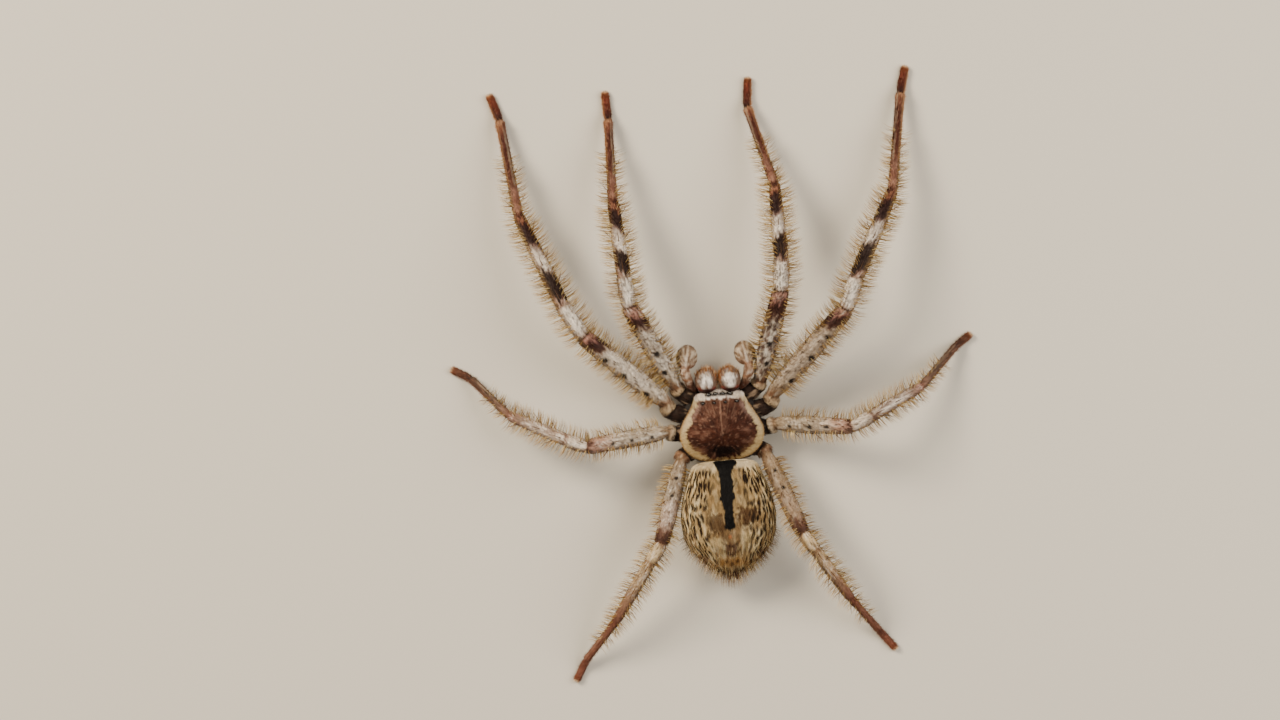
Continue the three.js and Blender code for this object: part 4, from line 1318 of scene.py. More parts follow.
oval = [
    (STERNUM["half_width"] * math.sin(turn), STERNUM["middle"] + STERNUM["half_length"] * math.cos(turn))
    for turn in np.linspace(0.0, math.pi, 40)
]
shape = plate_skin(14, oval, 4, (0.0, STERNUM["middle"], 4.2), 5.7, 2.7)
for side in SIDES.values():
    corners = [(side * x, y, z) for x, y, z in MAXILLA]
    path = measured(corners, lambda n, s: float(np.interp(n + s, *MAXILLA_RADII)), 0.3, 1, side)
    add_shape(shape, extrude_along(stops_of(path), 14))
sternum = ready("sternum_skin", shape, leg_shell, ["sternum"])
dress_plain(sternum, "#7a5c48", "#5a3c2e")
print("sternum with mouth parts:", len(sternum.data.polygons), "faces")

# %% Soft skin, coloured as painted shadow, and waist
# Painted shadow: the soft skin reaches out to the legs' roots and back towards the abdomen, and is
# near-black.
MEMBRANE = [
    (0, 6.3), (2.9, 6.3), (5.0, 5.6), (6.6, 3.6), (7.2, 1.0),
    (7.0, -1.8), (6.2, -4.0), (4.6, -5.5), (3, -5.7), (0, -5.7),
]
WAIST = [(0, -3.2, 5.2), (0, -5.4, 5.5), (0, -8.0, 6.0)]

shape = plate_skin(18, MEMBRANE, 10, (0.0, 0.0, 5.2), 6.35, 3.9)
# Near-black, as painted shadow in the gaps round the legs' roots.
soft_skin = ready("soft_skin", shape, leg_shell)
dress_plain(soft_skin, "#1a100d", "#0f0908")

path = measured(WAIST, lambda n, s: 0.8 + 0.25 * abs(n + s - 1), 0.3, 1)
waist = ready("waist_skin", extrude_along(stops_of(path), 16), leg_shell, ["pedicel"])
dress_plain(waist, "#2a1a14", "#1a100c")
print("under the body:", [made.name for made in (sternum, soft_skin, waist)])

# %% [markdown]
# ### Jaws, palps and spinnerets
# The two chelicerae bulge forward under the eyes like a pair of thumbs, each with a folded black fang. The
# palps beside them are short legs with a swollen last joint. The spinnerets are small cones behind.

# %% Paths of the jaws, fangs and palps
# Each row: x, y, z and radius, in millimetres.
CHELICERA = [
    (2.04, 6.2, 5.1, 1.1), (2.04, 6.9, 5.8, 1.4), (2.04, 7.7, 6.6, 1.82), (2.02, 8.8, 6.1, 1.95),
    (1.95, 9.2, 4.9, 1.55), (1.85, 9.3, 3.7, 1.25), (1.8, 9.35, 3.0, 0.8),
]
FANG = [
    (1.85, 9.4, 3.0, 0.45), (1.9, 9.6, 2.5, 0.42), (1.75, 9.8, 2.15, 0.36), (1.3, 9.9, 1.8, 0.24),
    (0.75, 9.6, 1.65, 0.06),
]
PALP = [
    (3.95, 6.9, 4.9, 0.6), (4.9, 8.0, 5.9, 0.7), (5.1, 8.7, 6.5, 0.66), (5.45, 9.3, 6.8, 0.84),
    (5.6, 10.2, 7.0, 0.88), (5.6, 10.8, 7.0, 0.68), (5.5, 11.15, 6.95, 0.82), (5.4, 11.5, 6.8, 1.34),
    (5.25, 12.2, 6.3, 1.74), (5.05, 13.0, 5.6, 1.78), (4.9, 13.5, 4.8, 1.55), (4.7, 13.75, 4.0, 0.95),
    (4.5, 13.8, 3.5, 0.4),
]


def rounded_path(rows, side, spacing, rounding):
    """A path through rows, mirrored to one side, with its radii evened out."""
    corners = [(side * x, y, z) for x, y, z, _ in rows]
    sizes = [radius for *_, radius in rows]
    path = measured(corners, lambda n, s: sizes[n] + (sizes[n + 1] - sizes[n]) * s, spacing, rounding, side)
    for _ in range(rounding):
        radius = path["radius"]
        radius[1:-1] = (radius[:-2] + 2.0 * radius[1:-1] + radius[2:]) / 4.0
    return path


print("rows of jaw, fang and palp:", len(CHELICERA), len(FANG), len(PALP))


# %% Markings of the jaws and palps
def jaw_marking(points):
    """Dark jaws with white hair on their domes, a rusty fringe between them and a red seam behind."""
    x, y, z = points.T
    fine = grain(0.3, x, y, z, seed=8)
    streaks = grain(1.0, x * 4.0, y * 1.2, z * 2.0, seed=9)
    colours = plain_marking(points, "#4e3428", "#70503e", 0.7, 3)
    colours = wash(colours, "#8c7464", step(5.8, 7.4, z) * 0.6)
    colours = wash(colours, "#4c3226", step(6.2, 7.8, z) * (1.0 - step(0.25, 0.5, streaks)) * 0.7)
    patch = np.hypot((np.abs(x) - 2.1) / 1.25, (y - 8.5) / 1.3) + (fine - 0.5) * 0.7 + (streaks - 0.5) * 0.6
    white = (1.0 - step(0.7, 1.2, patch)) * step(5.6, 6.8, z)
    front = step(9.9, 10.5, y + (fine - 0.5) * 1.2) * (1.0 - step(2.0, 3.2, np.abs(x))) * 0.6
    front = front + (1.0 - step(0.4, 0.85, np.abs(x) + (fine - 0.5) * 0.3)) * step(8.0, 9.0, y)
    colours = wash(colours, "#a8663a", np.clip(front, 0.0, 1.0) * 0.75)
    colours = wash(colours, "#f8f2ee", white * 0.97)
    colours = wash(colours, "#5a4840", white * (1.0 - step(0.26, 0.5, streaks)) * 0.85)
    colours = wash(colours, "#6a2418", (1.0 - step(7.1, 7.45, y)) * 0.95)
    colours = wash(colours, "#1c0c09", (1.0 - step(6.8, 7.05, y)) * 0.95)
    return colours


def palp_marking(points):
    """Pale, mottled palps with rusty joints and a club with fanned hair."""
    x, y, z = points.T
    fine = grain(0.35, x, y, z, seed=12)
    colours = plain_marking(points, "#a88c76", "#775642", 0.45, 5)
    colours = wash(colours, "#e6d8c8", step(0.55, 0.8, fine) * 0.75)
    colours = wash(colours, "#6e4632", (1.0 - step(0.15, 0.38, fine)) * 0.7)
    for ring in (8.75, 10.95):
        colours = wash(colours, "#94603c", band(y, ring - 0.22, ring + 0.22, 0.16) * (0.3 + 0.5 * fine))
    colours = wash(colours, "#5a3020", (1.0 - step(7.6, 8.6, y)) * 0.8)
    # The club has pale hair that fans out from a streak along its top.
    fan = np.arctan2(np.abs(x) - 5.5, y - 11.0)
    ribs = grain(1.0, fan * 9.0, np.hypot(np.abs(x) - 5.5, y - 11.0) * 1.1, seed=14)
    club = step(11.2, 12.0, y) * step(3.8, 5.2, z)
    colours = wash(colours, "#8c7660", club * 0.75)
    colours = wash(colours, "#e2d6c2", club * step(0.55, 0.82, ribs) * 0.6)
    colours = wash(colours, "#5e4634", club * (1.0 - step(0.2, 0.45, ribs)) * 0.65)
    streak = np.abs(np.abs(x) - 5.5 + 0.2 * (y - 11.0)) + (fine - 0.5) * 0.5
    top = band(y, 11.0, 12.8, 0.5) * (z > 5.0)
    colours = wash(colours, "#f2e8dc", (1.0 - step(0.1, 0.34, streak)) * top * 0.6)
    colours = wash(colours, "#4c3022", (1.0 - step(3.4, 4.8, z)) * (y > 12.0) * 0.8)
    return colours


# %% Jaws, fangs and palps
round_parts = {}
for side_name, side in SIDES.items():
    pieces = []
    for name, rows, spacing, rounding, sides, material, slot in (
        ("chelicera", CHELICERA, 0.2, 5, 34, jaw_shell, "jaws"),
        ("palp", PALP, 0.17, 3, 26, leg_shell, "palps"),
        ("fang", FANG, 0.1, 2, 14, fang_black, "fangs"),
    ):
        shape = extrude_along(stops_of(rounded_path(rows, side, spacing, rounding)), sides)
        pieces.append(ready(f"{name}_{side_name}_skin", shape, material, [f"{name}_{side_name}"]))
    for piece, marking in zip(pieces, (jaw_marking, palp_marking)):
        points = points_of(piece.data)
        dress(piece, marking(points), points)
    round_parts[side_name] = pieces
print("jaws, palps and fangs:", [piece.name for pieces in round_parts.values() for piece in pieces])

# %% Spinnerets
TAIL_Y, TAIL_Z = ABDOMEN["front"] - ABDOMEN["length"], ABDOMEN["heights"][2]
KNOB_SIZE = (1.1, 0.8, 0.9)
# Each cone: x and z beside the tail, its radius, how far it drops, and how far it reaches back.
CONES = ((0.5, -0.5, 0.46, -0.5, 1.35), (0.5, 0.2, 0.4, -0.15, 1.45), (0.18, -0.15, 0.28, -0.2, 1.1))
CONE_TAPER = ((0, 0.7, 0.92, 1), (1, 0.85, 0.6, 0.2))

shape = round_ball(6)
for vertex in shape.verts:
    x, y, z = (part * size for part, size in zip(vertex.co, KNOB_SIZE))
    vertex.co = Vector((x, y + TAIL_Y + 0.35, z + TAIL_Z - 0.2))
for side in SIDES.values():
    for x, z, radius, drop, reach in CONES:
        start = (side * x, TAIL_Y + 0.4, TAIL_Z + z)
        end = (side * x * 1.45, TAIL_Y + 0.4 - reach, TAIL_Z + z + drop)
        path = measured([start, end], lambda n, s: radius * float(np.interp(s, *CONE_TAPER)), 0.12, 0, side)
        add_shape(shape, extrude_along(stops_of(path), 12))
spinnerets = ready("spinnerets_skin", shape, leg_shell, ["spinnerets"])
dress_plain(spinnerets, "#4c2c20", "#33190f", 0.4)
print("spinnerets, mm:", np.round(points_of(spinnerets.data).min(axis=0), 2))

# %% [markdown]
# ### Eyes
# Eight small eyes stand in two rows across the face. Each is a clear lens set in the cuticle, so it is a
# glossy black bead sunk a little more than half-way.


# %% Eyes
ABOVE_ALL = 30.0  # a height in millimetres from which rays are cast down on the skin
EYE_STANDS_OUT = 0.3  # how far an eye's middle is out of the skin, as a share of its radius


def skin_height(made, x, y):
    """The place on a finished skin under a point, and the way the skin faces there."""
    above = TO_FRAME @ Vector((x, y, ABOVE_ALL))
    _, place, normal, _ = made.ray_cast(above, Vector((0.0, 0.0, -1.0)))
    return TO_FRAME.inverted() @ place, normal


for side_name, side in SIDES.items():
    for eye, ((x, y), radius) in EYES.items():
        on, outward = skin_height(carapace, side * x, y)
        shape = bmesh.new()
        bmesh.ops.create_uvsphere(shape, u_segments=24, v_segments=16, radius=radius)
        bmesh.ops.translate(shape, verts=shape.verts, vec=on + outward * radius * EYE_STANDS_OUT)
        ready(f"eye_{eye}_{side_name}_bead", shape, eye_glass, [f"eye_{eye}_{side_name}"])
print("eyes:", 2 * len(EYES))

# %% [markdown]
# ## Hair
# Every hair is a thin three-sided spike: a ring at its root, sunk in the skin, for the long ones a ring
# half-way, and a tip, all made at once for thousands of hairs from arrays of roots and directions. A hair
# takes the colour of the marking at its root. Its patch on the map for baked colour sits at its root's place
# on the skin's own unwrapping, so neighbouring hairs have neighbouring colours there.


# %% Making a coat
TURNS = np.radians((0.0, 120.0, 240.0))
SHORT_FACES = [(0, 2, 1), (0, 1, 3), (1, 2, 3), (2, 0, 3)]
LONG_FACES = [
    (0, 2, 1), (0, 1, 4), (0, 4, 3), (1, 2, 5), (1, 5, 4),
    (2, 0, 3), (2, 3, 5), (3, 4, 6), (4, 5, 6), (5, 3, 6),
]
ROOT_DEPTH = 0.1  # mm, how deep a hair stands in the skin
LOWEST = 0.02  # mm above the floor, below which no hair goes
PATCH = 0.0015  # half the width of a hair's patch on the map for baked colour
MAP_EDGE = 0.004  # kept free round the map, so that no patch leaves it


def hair_corners(roots, ways, ends, lengths, radius, long):
    """The corners of each hair: its ring at the root, a ring half-way if it is long, and its tip."""
    upright = np.abs(ways[:, 2:]) > 0.9
    side = unit(np.cross(ways, np.where(upright, [[1.0, 0.0, 0.0]], [[0.0, 0.0, 1.0]])))
    other = np.cross(ways, side)
    ring = side[:, None] * np.cos(TURNS)[None, :, None] + other[:, None] * np.sin(TURNS)[None, :, None]
    low = (roots - ways * ROOT_DEPTH)[:, None] + ring * radius
    half_way = roots + ways * lengths[:, None] * 0.5
    tip = half_way + unit(ways * 0.4 + ends * 0.6) * lengths[:, None] * 0.5
    middle = [half_way[:, None] + ring * radius * 0.75] if long else []
    corners = np.concatenate([low, *middle, tip[:, None]], axis=1)
    corners[..., 2] = np.maximum(corners[..., 2], LOWEST)
    return corners


def coat(name, roots, ways, ends, lengths, radius, colours, unwrap, material, long=True):
    """Hairs from roots. Each starts along its way and bends towards its end, and both are unit vectors."""
    corners = hair_corners(roots, ways, ends, lengths, radius, long)
    count, each = corners.shape[:2]
    faces = np.array(LONG_FACES if long else SHORT_FACES)
    index = (faces[None] + np.arange(count)[:, None, None] * each).reshape(-1, 3)
    mesh = bpy.data.meshes.new(name)
    mesh.vertices.add(count * each)
    mesh.vertices.foreach_set("co", ((corners.reshape(-1, 3) + np.array(ORIGIN)) * MM).ravel())
    mesh.loops.add(index.size)
    mesh.loops.foreach_set("vertex_index", index.ravel())
    mesh.polygons.add(len(index))
    mesh.polygons.foreach_set("loop_start", np.arange(0, index.size, 3))
    mesh.update(calc_edges=True)
    store(mesh, "marking", np.repeat(colours, each, axis=0))
    rise = [0.0] * 3 + [0.5] * (each - 4) + [1.0]  # from root to tip
    layer = mesh.attributes.new("rise", "FLOAT", "POINT")
    layer.data.foreach_set("value", np.tile(rise, count).astype(np.float32))
    around = 2.0 * math.pi * np.arange(each) / each
    patch = np.stack([np.cos(around), np.sin(around)], axis=1) * PATCH
    spread = np.clip(unwrap, MAP_EDGE, 1.0 - MAP_EDGE)[:, None] + patch[None]
    uv = mesh.uv_layers.new(name="OFBake")
    uv.data.foreach_set("uv", spread.reshape(-1, 2)[index.ravel()].astype(np.float32).ravel())
    return placed(name, mesh, material, smooth=False)


# %% Colours and ways of many hairs
rng = np.random.default_rng(11)


def varied(colours, spread):
    """Each hair a little lighter or darker than its marking."""
    return colours * (1.0 - spread + 2.0 * spread * rng.random(len(colours)))[:, None]


def picked(count, *choices):
    """A colour for each hair from (share, hex) choices."""
    shares = np.array([share for share, _ in choices])
    shades = np.array([linear(shade) for _, shade in choices])
    return shades[rng.choice(len(choices), count, p=shares / shares.sum())]


def unit_ways(count, x, y, z):
    """A unit vector for each hair, from parts that are one number or a number for each."""
    return unit(np.stack([np.broadcast_to(part, count) for part in (x, y, z)], axis=1))


print("faces of a short hair and of a long one:", len(SHORT_FACES), "and", len(LONG_FACES))

# %% [markdown]
# ### Hair of the legs
# Long golden bristles stand nearly square to the femur, patella and tibia and to the start of the
# metatarsus, so from above they make a comb on both sides of the leg. Short hair lies flat everywhere else.
# Under the metatarsus and the foot it thickens to a brush, the scopula, which the spider clings with.


# %% Places on a leg
def on_leg(path, far, angle):
    """The skin of a leg at distances along it and angles from its top."""
    stop = np.interp(far, path["far"], np.arange(len(path["far"])))
    values = {}
    for key in ("middle", "along", "across", "over"):
        values[key] = np.stack([np.interp(far, path["far"], path[key][:, k]) for k in range(3)], axis=1)
    radius = np.interp(far, path["far"], path["radius"])
    outward = unit(values["across"] * np.sin(angle)[:, None] + values["over"] * np.cos(angle)[:, None])
    on_skin = values["middle"] + outward * radius[:, None]
    return on_skin, outward, unit(values["along"]), np.round(stop).astype(int)


def reach_of(path, length, share):
    """The distance along a leg of a share of one of its lengths."""
    mine = path["length"] == length
    return float(np.interp(share, path["share"][mine], path["far"][mine]))


def leg_unwrap(path, far, angle):
    """The unwrapping of a leg: its share of the way along, and its turn."""
    return np.stack([far / path["far"][-1], angle / (2.0 * math.pi) + 0.5], axis=1)


first_leg = legs["leg_1_left"]
print("first left leg, mm along it to its knee:", round(reach_of(first_leg, FEMUR, 1.0), 1),
      "and to its tip:", round(float(first_leg["far"][-1]), 1))


# %% Long bristles
# Of each pair: how many to a millimetre of leg, and how long they are as a share of the longest.
LONG_PER_MM = (36, 36, 28, 27)
LONG_SIZE = (1.0, 1.0, 0.85, 0.85)
LONG_RADIUS = 0.046  # mm, a little thicker than real ones, so that they show in the render
LONG_COLOURS = ((0.5, "#ac8648"), (0.2, "#6c5028"), (0.3, "#e0c68c"))
COMB_SHARE = 0.72  # of the bristles, in the combs on both sides of the leg

hairs = 0
for name, path in legs.items():
    pair = path["pair"]
    start, end = reach_of(path, FEMUR, 0.08), reach_of(path, METATARSUS, 0.62)
    count = int((end - start) * LONG_PER_MM[pair])
    far = start + (end - start) * rng.random(count)
    side = np.sign(rng.random(count) - 0.5)
    in_comb = rng.random(count) < COMB_SHARE
    turn = np.where(in_comb, rng.normal(84.0, 13.0, count), 25.0 + 40.0 * rng.random(count))
    angle = side * np.radians(turn)
    root, outward, along, stop = on_leg(path, far, angle)
    length = path["length"][stop]
    thin_out = np.where(length == METATARSUS, path["share"][stop], 0.0)
    kept = rng.random(count) < 1.0 - 0.9 * thin_out
    root, outward, along, length, far, angle = (v[kept] for v in (root, outward, along, length, far, angle))
    count = len(root)
    size = (2.1 + 1.15 * rng.random(count)) * np.where(length == FEMUR, 0.86, 1.0) * LONG_SIZE[pair]
    size *= np.where(length == METATARSUS, 0.8, 1.0) * np.where(np.abs(angle) < 1.1, 0.65, 1.0)
    level = outward * (1.0, 1.0, 0.6)  # bristles on the upper side fan outwards rather than straight up
    way = unit(level + along * (0.05 + 0.16 * rng.random(count))[:, None] + rng.normal(0, 0.07, (count, 3)))
    bend = unit(way + along * (0.35 + 0.4 * rng.random(count))[:, None])
    colour = varied(picked(count, *LONG_COLOURS), 0.12)
    spread = leg_unwrap(path, far, angle)
    coat(f"{name}_bristles", root, way, bend, size, LONG_RADIUS, colour, spread, long_hair)
    hairs += count
print("long bristles:", hairs)

# %% Short hair
FLAT_PER_MM = (220, 220, 170, 160)
FLAT_RADIUS = 0.04  # mm

for name, path in legs.items():
    start, end = reach_of(path, COXA, 0.3), path["far"][-1] - 0.25
    count = int((end - start) * FLAT_PER_MM[path["pair"]])
    far = start + (end - start) * rng.random(count)
    angle = np.radians(360.0 * rng.random(count) - 180.0)
    root, outward, along, stop = on_leg(path, far, angle)
    foot = far > reach_of(path, METATARSUS, 0.3)
    lift = 0.22 + 0.3 * rng.random(count) ** 2
    way = unit(along + outward * lift[:, None] + rng.normal(0, 0.14, (count, 3)))
    bend = unit(way - outward * 0.15)
    size = np.where(foot, 0.4, 0.5) * (0.65 + 0.7 * rng.random(count))
    colour = varied(leg_marking(path, stop, angle), 0.2)
    spread = leg_unwrap(path, far, angle)
    coat(f"{name}_nap", root, way, bend, size, FLAT_RADIUS, colour, spread, coat_hair, long=False)
    hairs += count
print("hairs on the legs so far:", hairs)

# %% Brush under the metatarsus and the foot
BRUSH_PER_MM = 75
BRUSH_RADIUS = 0.036  # mm
ORANGE_HAIR = ((0.6, "#b9793f"), (0.4, "#d8a874"))  # the rear edge of the front pairs' feet
BROWN_HAIR = ((1, "#8f6048"),)  # the same edge on the back pairs
DULL_HAIR = ((0.6, "#6c4a38"), (0.4, "#a08a74"))

for name, path in legs.items():
    start, end = reach_of(path, METATARSUS, 0.3), path["far"][-1]
    count = int((end - start) * BRUSH_PER_MM)
    far = end - (end - start) * rng.random(count) ** 1.15
    angle = np.sign(rng.random(count) - 0.5) * np.radians(80.0 + 100.0 * rng.random(count))
    root, outward, along, stop = on_leg(path, far, angle)
    way = unit(outward * (1.0, 1.0, 0.5) + along * 0.55 + rng.normal(0, 0.13, (count, 3)))
    size = (0.34 + 0.26 * rng.random(count)) * step(0.0, 2.0, far - start)
    warm = picked(count, *(ORANGE_HAIR if path["pair"] < 2 else BROWN_HAIR))
    dull = picked(count, *DULL_HAIR)
    colour = varied(np.where((np.sin(angle) < 0.0)[:, None], warm, dull), 0.15)
    spread = leg_unwrap(path, far, angle)
    coat(
        f"{name}_scopula", root, way, way, size, BRUSH_RADIUS, colour, spread, coat_hair, long=False
    )
    hairs += count
print("hairs on the legs:", hairs)

# %% [markdown]
# ### Spines, claws and claw tufts
# Between the bristles stand a few strong spines, in rows along the sides and the top of each length. Each
# foot ends in two small claws over a pad of dense short hair, which is what lets the spider hold on to
# smooth bark.

# %% Spines
# On the sides of each length: how far along, how long in millimetres, and how far from the top in degrees.
SIDE_SPINES = {
    FEMUR: ((0.28, 0.52, 0.76), 2.4, 62),
    TIBIA: ((0.2, 0.5, 0.78), 2.3, 78),
    METATARSUS: ((0.12, 0.42), 1.9, 80),
}
BESIDE_ABDOMEN = 18  # degrees from the top, where the fourth femora's rear spines clear the abdomen
CREST_SPINES = {FEMUR: (0.4, 0.64, 0.9), TIBIA: (0.05, 0.42)}
SPINE_RADIUS = 0.1  # mm

for name, path in legs.items():
    far, angle, size, lean = [], [], [], []
    for length, (places, long, turn) in SIDE_SPINES.items():
        for place in places:
            for ahead in (-1.0, 1.0):
                far.append(reach_of(path, length, place + 0.02 * rng.normal()))
                crowded = path["pair"] == 3 and length == FEMUR and ahead < 0.0
                angle.append(math.radians(ahead * (BESIDE_ABDOMEN if crowded else turn) + 6 * rng.normal()))
                size.append(long * (0.92 + 0.16 * rng.random()))
                lean.append(0.9)
    for length, places in CREST_SPINES.items():
        for place in places:
            far.append(reach_of(path, length, place))
            angle.append(0.0)
            size.append(2.2)
            lean.append(0.5)
    far, angle, size, lean = (np.array(values) for values in (far, angle, size, lean))
    root, outward, along, stop = on_leg(path, far, angle)
    way = unit(outward * 0.8 + along * lean[:, None])
    bend = unit(way + along * 0.4)
    shade = np.tile(linear("#5c3c22"), (len(root), 1))
    spread = leg_unwrap(path, far, angle)
    coat(f"{name}_spines", root, way, bend, size, SPINE_RADIUS, shade, spread, long_hair)
print("spines on each leg:", len(root))

# %% Claws and claw tufts
CLAW_BENDS = ((-0.2, 0.12), (0.1, 0.2), (0.3, 0.07), (0.4, -0.13))  # ahead of the foot's tip, and above it
CLAW_APART = 0.16  # mm from the foot's middle line
TUFT_COUNT = 300
TUFT_RADIUS = 0.036  # mm

for name, path in legs.items():
    tip, along, across = path["middle"][-1], path["along"][-1], path["across"][-1]
    shape = bmesh.new()
    for side in (-1.0, 1.0):
        beside = tip + across * side * CLAW_APART
        bends = [beside + along * ahead + UP * above for ahead, above in CLAW_BENDS]
        claw_path = measured(bends, lambda n, s: 0.1 - 0.03 * (n + s), 0.06, 2)
        add_shape(shape, extrude_along(stops_of(claw_path), 8))
    ready(f"{name}_claws", shape, fang_black)
    far = path["far"][-1] - 1.0 * rng.random(TUFT_COUNT) ** 1.5
    angle = np.radians(360.0 * rng.random(TUFT_COUNT) - 180.0)
    root, outward, forward, stop = on_leg(path, far, angle)
    near_tip = 1.0 - (path["far"][-1] - far)
    ahead = forward * (0.5 + 0.8 * near_tip)[:, None]
    way = unit(ahead + outward * 0.6 + rng.normal(0, 0.12, (TUFT_COUNT, 3)))
    way[:, 2] = np.maximum(way[:, 2], -0.15)
    way = unit(way)
    shade = wash(np.tile(linear("#8a4e34"), (TUFT_COUNT, 1)), "#f4d8b4", step(0.5, 1.0, near_tip))
    size = 0.28 + 0.28 * rng.random(TUFT_COUNT)
    spread = leg_unwrap(path, far, angle)
    coat(
        f"{name}_claw_tuft", root, way, way, size, TUFT_RADIUS, shade, spread, coat_hair, long=False
    )
print("feet with claws and tufts:", len(legs))

# %% [markdown]
# ### The body's coat
# The hair on the body lies flat. On the abdomen it points backwards, on the carapace it radiates from the
# pit, and it gets longer at the rim, over the jaws and round the spinnerets, where it makes a fringe.

# %% Roots on a skin
def scatter(made, count, keep=None):
    """Random roots on a finished skin, even over its area: places and outward ways, in millimetres."""
    mesh = made.data
    mesh.calc_loop_triangles()
    corners = np.empty(len(mesh.loop_triangles) * 3, dtype=np.int32)
    mesh.loop_triangles.foreach_get("vertices", corners)
    points = points_of(mesh)[corners.reshape(-1, 3)]
    facing = np.cross(points[:, 1] - points[:, 0], points[:, 2] - points[:, 0])
    area = np.linalg.norm(facing, axis=1)
    weight = area if keep is None else area * keep(points.mean(axis=1), unit(facing))
    chosen = rng.choice(len(area), count, p=weight / weight.sum())
    first, second = rng.random((2, count))
    folded = first + second > 1.0
    first, second = np.where(folded, 1.0 - first, first), np.where(folded, 1.0 - second, second)
    corner = points[chosen]
    place = corner[:, 0] + (corner[:, 1] - corner[:, 0]) * first[:, None]
    return place + (corner[:, 2] - corner[:, 0]) * second[:, None], unit(facing[chosen])


def flat_way(outward, towards, lift, spread):
    """A way that lies on the surface towards a direction, lifted a little and varied."""
    lying = unit(towards - outward * np.sum(towards * outward, axis=1)[:, None])
    return unit(lying + outward * np.reshape(lift, (-1, 1)) + rng.normal(0, spread, lying.shape))


def around(place, middle, rear_end, long):
    """The unwrapping of a long body: its turn round a middle height, and its share of the way along."""
    turn = np.arctan2(place[:, 0], place[:, 2] - middle) / (2.0 * math.pi) + 0.5
    return np.stack([turn, (place[:, 1] - rear_end) / long], axis=1)


print("area of the abdomen, square mm:", round(sum(face.area for face in abdomen.data.polygons) / MM**2))


# %% Coat of the abdomen
ABDOMEN_MAP = (ABDOMEN_CORE, -27.0, 23.0)  # the height that its map turns round, its rear end and its length
ABDOMEN_NAP = 46000
NAP_RADIUS = 0.036  # mm

place, outward = scatter(abdomen, ABDOMEN_NAP, lambda p, n: 0.25 + 0.75 * (n[:, 2] > -0.2))
count = len(place)
back = unit_ways(count, -place[:, 0] * 0.05, -1.0, 0.0)
rear = 1.0 - step(-25.5, -22.0, place[:, 1])
way = flat_way(outward, back, 0.1 + 0.1 * rng.random(count) + 0.12 * rear, 0.07)
bend = unit(way - outward * 0.1)
size = 0.34 + 0.3 * rng.random(count)
colour = varied(abdomen_marking(place), 0.14)
spread = around(place, *ABDOMEN_MAP)
coat("abdomen_nap", place, way, bend, size, NAP_RADIUS, colour, spread, coat_hair, long=False)
print("abdomen: short hairs", count)

# %% Bristles of the abdomen
ABDOMEN_BRISTLES = 800
ABDOMEN_BRISTLE_RADIUS = 0.02  # mm


def towards_rear(places, outward):
    """How likely a bristle is: hardly in front, most at the rear, and none underneath."""
    return (0.06 + 1.0 - step(-25.0, -14.0, places[:, 1])) * (outward[:, 2] > -0.5)


place, outward = scatter(abdomen, ABDOMEN_BRISTLES, towards_rear)
off_stripe = (np.abs(place[:, 0]) > 1.6) | (place[:, 1] < -18.0)
place, outward = place[off_stripe], outward[off_stripe]
count = len(place)
back = unit_ways(count, place[:, 0] * 0.04, -1.0, 0.0)
way = flat_way(outward, back, 0.5 + 0.6 * rng.random(count), 0.15)
size = 0.8 + 0.9 * rng.random(count) * (1.0 - 0.4 * step(-20.0, -12.0, place[:, 1]))
colour = picked(count, (0.35, "#a07840"), (0.4, "#3e2818"), (0.25, "#e0c890"))
spread = around(place, *ABDOMEN_MAP)
coat("abdomen_bristles", place, way, way, size, ABDOMEN_BRISTLE_RADIUS, colour, spread, long_hair)
print("abdomen: bristles", count)

# %% Fringe round the rear
FRINGE = 900
FRINGE_RADIUS = 0.027  # mm

share = 0.6 + 0.4 * rng.random(FRINGE) ** 0.75
rim = np.array([abdomen_outline.at(s) for s in share])
side = np.sign(rng.random(FRINGE) - 0.5)
turn = np.radians(rng.normal(0.0, 28.0, FRINGE))
out = unit_ways(FRINGE, side * rim[:, 0] / 8.0, (rim[:, 1] + 17.0) / 9.0, 0.0)
high = abdomen_middle(rim[:, 1]) + rim[:, 0] * ABDOMEN["flatness"] * np.sin(turn)
place = np.stack([side * rim[:, 0] * np.cos(turn), rim[:, 1], high], axis=1)
backwards = np.stack([np.zeros(FRINGE), np.full(FRINGE, -0.35), np.sin(turn)], axis=1)
way = unit(out + backwards + rng.normal(0, 0.16, (FRINGE, 3)))
bend = unit(way + (0.0, -0.3, 0.0))
size = (1.4 + 1.6 * rng.random(FRINGE)) * (0.8 + 0.4 * step(0.85, 1.0, share))
colour = picked(FRINGE, (0.4, "#a07a44"), (0.35, "#5a3826"), (0.25, "#e4d0a0"))
spread = around(place, *ABDOMEN_MAP)
coat("abdomen_fringe", place, way, bend, size, FRINGE_RADIUS, colour, spread, long_hair)
print("abdomen: hairs in the fringe", FRINGE)

# %% Coat of the carapace
CARAPACE_MAP = (5.0, -7.0, 15.0)
CARAPACE_NAP = 19000
CARAPACE_NAP_RADIUS = 0.034  # mm

place, outward = scatter(carapace, CARAPACE_NAP, lambda p, n: n[:, 2] > -0.05)
count = len(place)
edge = carapace_outline.inside(place[:, 0], place[:, 1])
radial = unit_ways(count, place[:, 0], place[:, 1] - PIT, 0.0)
fringe = 1.0 - step(0.2, 1.4, edge)
way = flat_way(outward, radial, 0.1 + 0.1 * rng.random(count) + 0.12 * fringe, 0.13)
bend = unit(way - outward * 0.1)
size = (0.3 + 0.22 * rng.random(count)) * (1.0 + 0.5 * fringe)
colour = varied(carapace_marking(place), 0.2)
spread = around(place, *CARAPACE_MAP)
coat(
    "carapace_nap", place, way, bend, size, CARAPACE_NAP_RADIUS, colour, spread, coat_hair,
    long=False,
)
print("carapace: short hairs", count)

